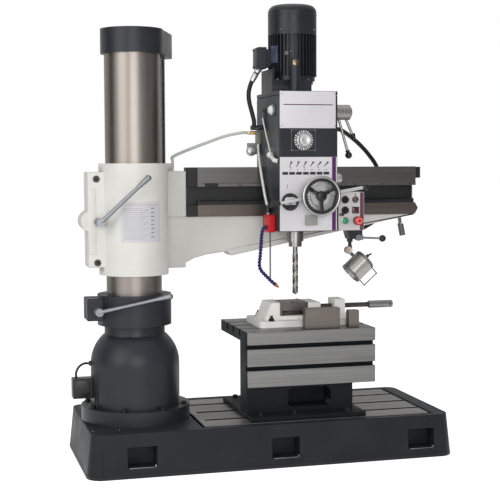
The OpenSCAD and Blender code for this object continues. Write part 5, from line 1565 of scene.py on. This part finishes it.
@dataclass
class Studio:
    """The camera, lamps, world, floor and reflection cards.

    Attributes:
        position: The camera's place in millimetres.
        azimuth: Turn of the view from +Y towards +X, in degrees.
        pitch: Downward tilt in degrees.
        roll: Roll in degrees.
        focal: Focal length in pixels of the photograph's frame.
        frame_px: Side of that frame in pixels.
        sensor: Width of the camera's sensor in millimetres.
        lamps: Name, place, power, and width and height in metres of each lamp.
        middle: The point that the lamps face.
        cards: Name, first corner, last corner and grey of each reflection card.
        card_height: Height of the cards.
        ambient: Grey of the surround as it lights the object.
        floor_at: The floor's middle in millimetres.
        floor_size: Half of the floor's side in metres.
        floor_tones: Darkest and lightest grey of the floor.
        floor_glow: How far the floor glows where it is seen, so that it shows white.
    """

    position: Point = (-875.7, -5140.3, 1291.0)
    azimuth: float = 15.22
    pitch: float = 4.16
    roll: float = -0.22
    focal: float = 1197.19
    frame_px: float = 500.0
    sensor: float = 36.0
    lamps: Sequence[tuple[str, Point, float, Pair]] = (
        ("left_softbox", (-3300.0, -2700.0, 2300.0), 78.0, (2.8, 3.2)),
        ("right_softbox", (3900.0, -2700.0, 2200.0), 30.0, (2.4, 3.0)),
        ("front_fill", (-300.0, -5600.0, 1700.0), 92.0, (3.0, 2.0)),
        ("top_softbox", (500.0, 300.0, 4700.0), 30.0, (2.6, 2.0)),
        ("strip_light", (-1700.0, -3300.0, 3700.0), 6.0, (0.9, 0.12)))
    middle: Point = (500.0, 0.0, 1000.0)
    cards: Sequence[tuple[str, Pair, Pair, float]] = (
        ("right_card", (1500.0, -5900.0), (4300.0, 3000.0), 0.4),
        ("back_card", (4200.0, 1500.0), (-3200.0, 1500.0), 0.85),
        ("left_card", (-4200.0, -300.0), (-4000.0, 4600.0), 0.16))
    card_height: float = 4000.0
    ambient: float = 0.32
    floor_at: Point = (500.0, 0.0, -0.5)
    floor_size: float = 40.0
    floor_tones: Pair = (0.78, 0.80)
    floor_glow: float = 0.8

    def camera(self) -> None:
        """Makes the camera at the photograph's angle."""
        a, t, r = (math.radians(v) for v in (self.azimuth, self.pitch, self.roll))
        ahead = Vector((math.sin(a) * math.cos(t), math.cos(a) * math.cos(t), -math.sin(t)))
        side = Vector((math.cos(a), -math.sin(a), 0.0))
        up = side.cross(ahead)
        right = side * math.cos(r) + up * math.sin(r)
        up = up * math.cos(r) - side * math.sin(r)
        data = bpy.data.cameras.new("photo_camera")
        data.sensor_width = self.sensor
        data.lens = self.sensor * self.focal / self.frame_px
        made = bpy.data.objects.new("photo_camera", data)
        turn = Matrix((right, up, -ahead)).transposed().to_4x4()
        made.matrix_world = Matrix.Translation(mm(self.position)) @ turn
        bpy.context.scene.collection.objects.link(made)
        bpy.context.scene.camera = made

    def light(self) -> None:
        """Makes the lamps, the world, the floor and the reflection cards."""
        for name, at, power, size in self.lamps:
            data = bpy.data.lights.new(name, "AREA")
            data.shape = "RECTANGLE"
            data.energy = power
            data.size, data.size_y = size
            made = bpy.data.objects.new(name, data)
            place = mm(at)
            turn = (mm(self.middle) - place).to_track_quat("-Z", "Y").to_matrix().to_4x4()
            made.matrix_world = Matrix.Translation(place) @ turn
            bpy.context.scene.collection.objects.link(made)
        self.world()
        self.floor()
        self.reflection_cards()

    def seen(self, graph: Graph) -> bpy.types.NodeSocket:
        """Adds the mask of rays that see the backdrop itself: camera, glossy and transmission rays.

        Args:
            graph: The graph to add to.

        Returns:
            The mask socket.
        """
        rays = graph.node("ShaderNodeLightPath")
        mirrored = graph.math("MAXIMUM", rays.outputs["Is Glossy Ray"],
                              rays.outputs["Is Transmission Ray"])
        return graph.math("MAXIMUM", rays.outputs["Is Camera Ray"], mirrored)

    def world(self) -> None:
        """Makes a white surround that lights the object softly."""
        world = bpy.data.worlds.new("studio_world")
        world.use_nodes = True
        bpy.context.scene.world = world
        g = Graph(world.node_tree)
        shown = g.mix(self.seen(g), (self.ambient,) * 3, (1.0, 1.0, 1.0))
        g.fill(world.node_tree.nodes["Background"], {"Color": shown})

    def floor(self) -> None:
        """Makes the pale floor, which keeps the object's shadow."""
        bm = bmesh.new()
        bmesh.ops.create_grid(bm, x_segments=2, y_segments=2, size=self.floor_size)
        mesh = bpy.data.meshes.new("floor")
        bm.to_mesh(mesh)
        bm.free()
        paint = bpy.data.materials.new("floor_white")
        paint.use_nodes = True
        g = Graph(paint.node_tree)
        where = g.node("ShaderNodeTexCoord").outputs["Object"]
        noise = g.node("ShaderNodeTexNoise", {"Vector": where, "Scale": 3.0})
        dark, light = ((tone,) * 3 for tone in self.floor_tones)
        g.fill(paint.node_tree.nodes["Principled BSDF"], {
            "Base Color": g.mix(noise.outputs["Fac"], dark, light), "Roughness": 0.9,
            "Specular IOR Level": 0.1, "Emission Color": (1.0, 1.0, 1.0, 1.0),
            "Emission Strength": g.math("MULTIPLY", self.seen(g), self.floor_glow)})
        mesh.materials.append(paint)
        made = bpy.data.objects.new("floor", mesh)
        made.location = mm(self.floor_at)
        bpy.context.scene.collection.objects.link(made)
        made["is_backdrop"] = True

    def reflection_cards(self) -> None:
        """Makes the cards that only reflections show, which give round metal its dark sides."""
        for name, start, end, tone in self.cards:
            bm = bmesh.new()
            edge = bm.edges.new([bm.verts.new(mm((*corner, 0.0))) for corner in (start, end)])
            risen = bmesh.ops.extrude_edge_only(bm, edges=[edge])["geom"]
            bmesh.ops.translate(bm, vec=mm((0.0, 0.0, self.card_height)),
                                verts=[v for v in risen if isinstance(v, bmesh.types.BMVert)])
            mesh = bpy.data.meshes.new(name)
            bm.to_mesh(mesh)
            bm.free()
            cloth = Finish(f"{name}_cloth", (tone, tone, tone), 0.95, specular=0.0)
            mesh.materials.append(cloth.material())
            made = bpy.data.objects.new(name, mesh)
            bpy.context.scene.collection.objects.link(made)
            made.visible_camera = made.visible_diffuse = False
            made.visible_shadow = made.visible_transmission = False
            made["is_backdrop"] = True


def main() -> None:
    """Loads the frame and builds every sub-assembly."""
    logging.basicConfig(level=logging.INFO, format="%(name)s: %(message)s")
    frame = Frame()
    studio = Studio()
    studio.camera()
    Cords().build()
    for part in (BaseAndColumn(frame), Arm(frame), Head(frame), Motor(frame), Controls(frame),
                 Coolant(frame), TableAndVise(frame)):
        part.build()
        LOG.info("%s done", type(part).__name__)
    studio.light()
    bpy.context.scene.view_settings.view_transform = "Standard"


if __name__ == "__main__":
    main()
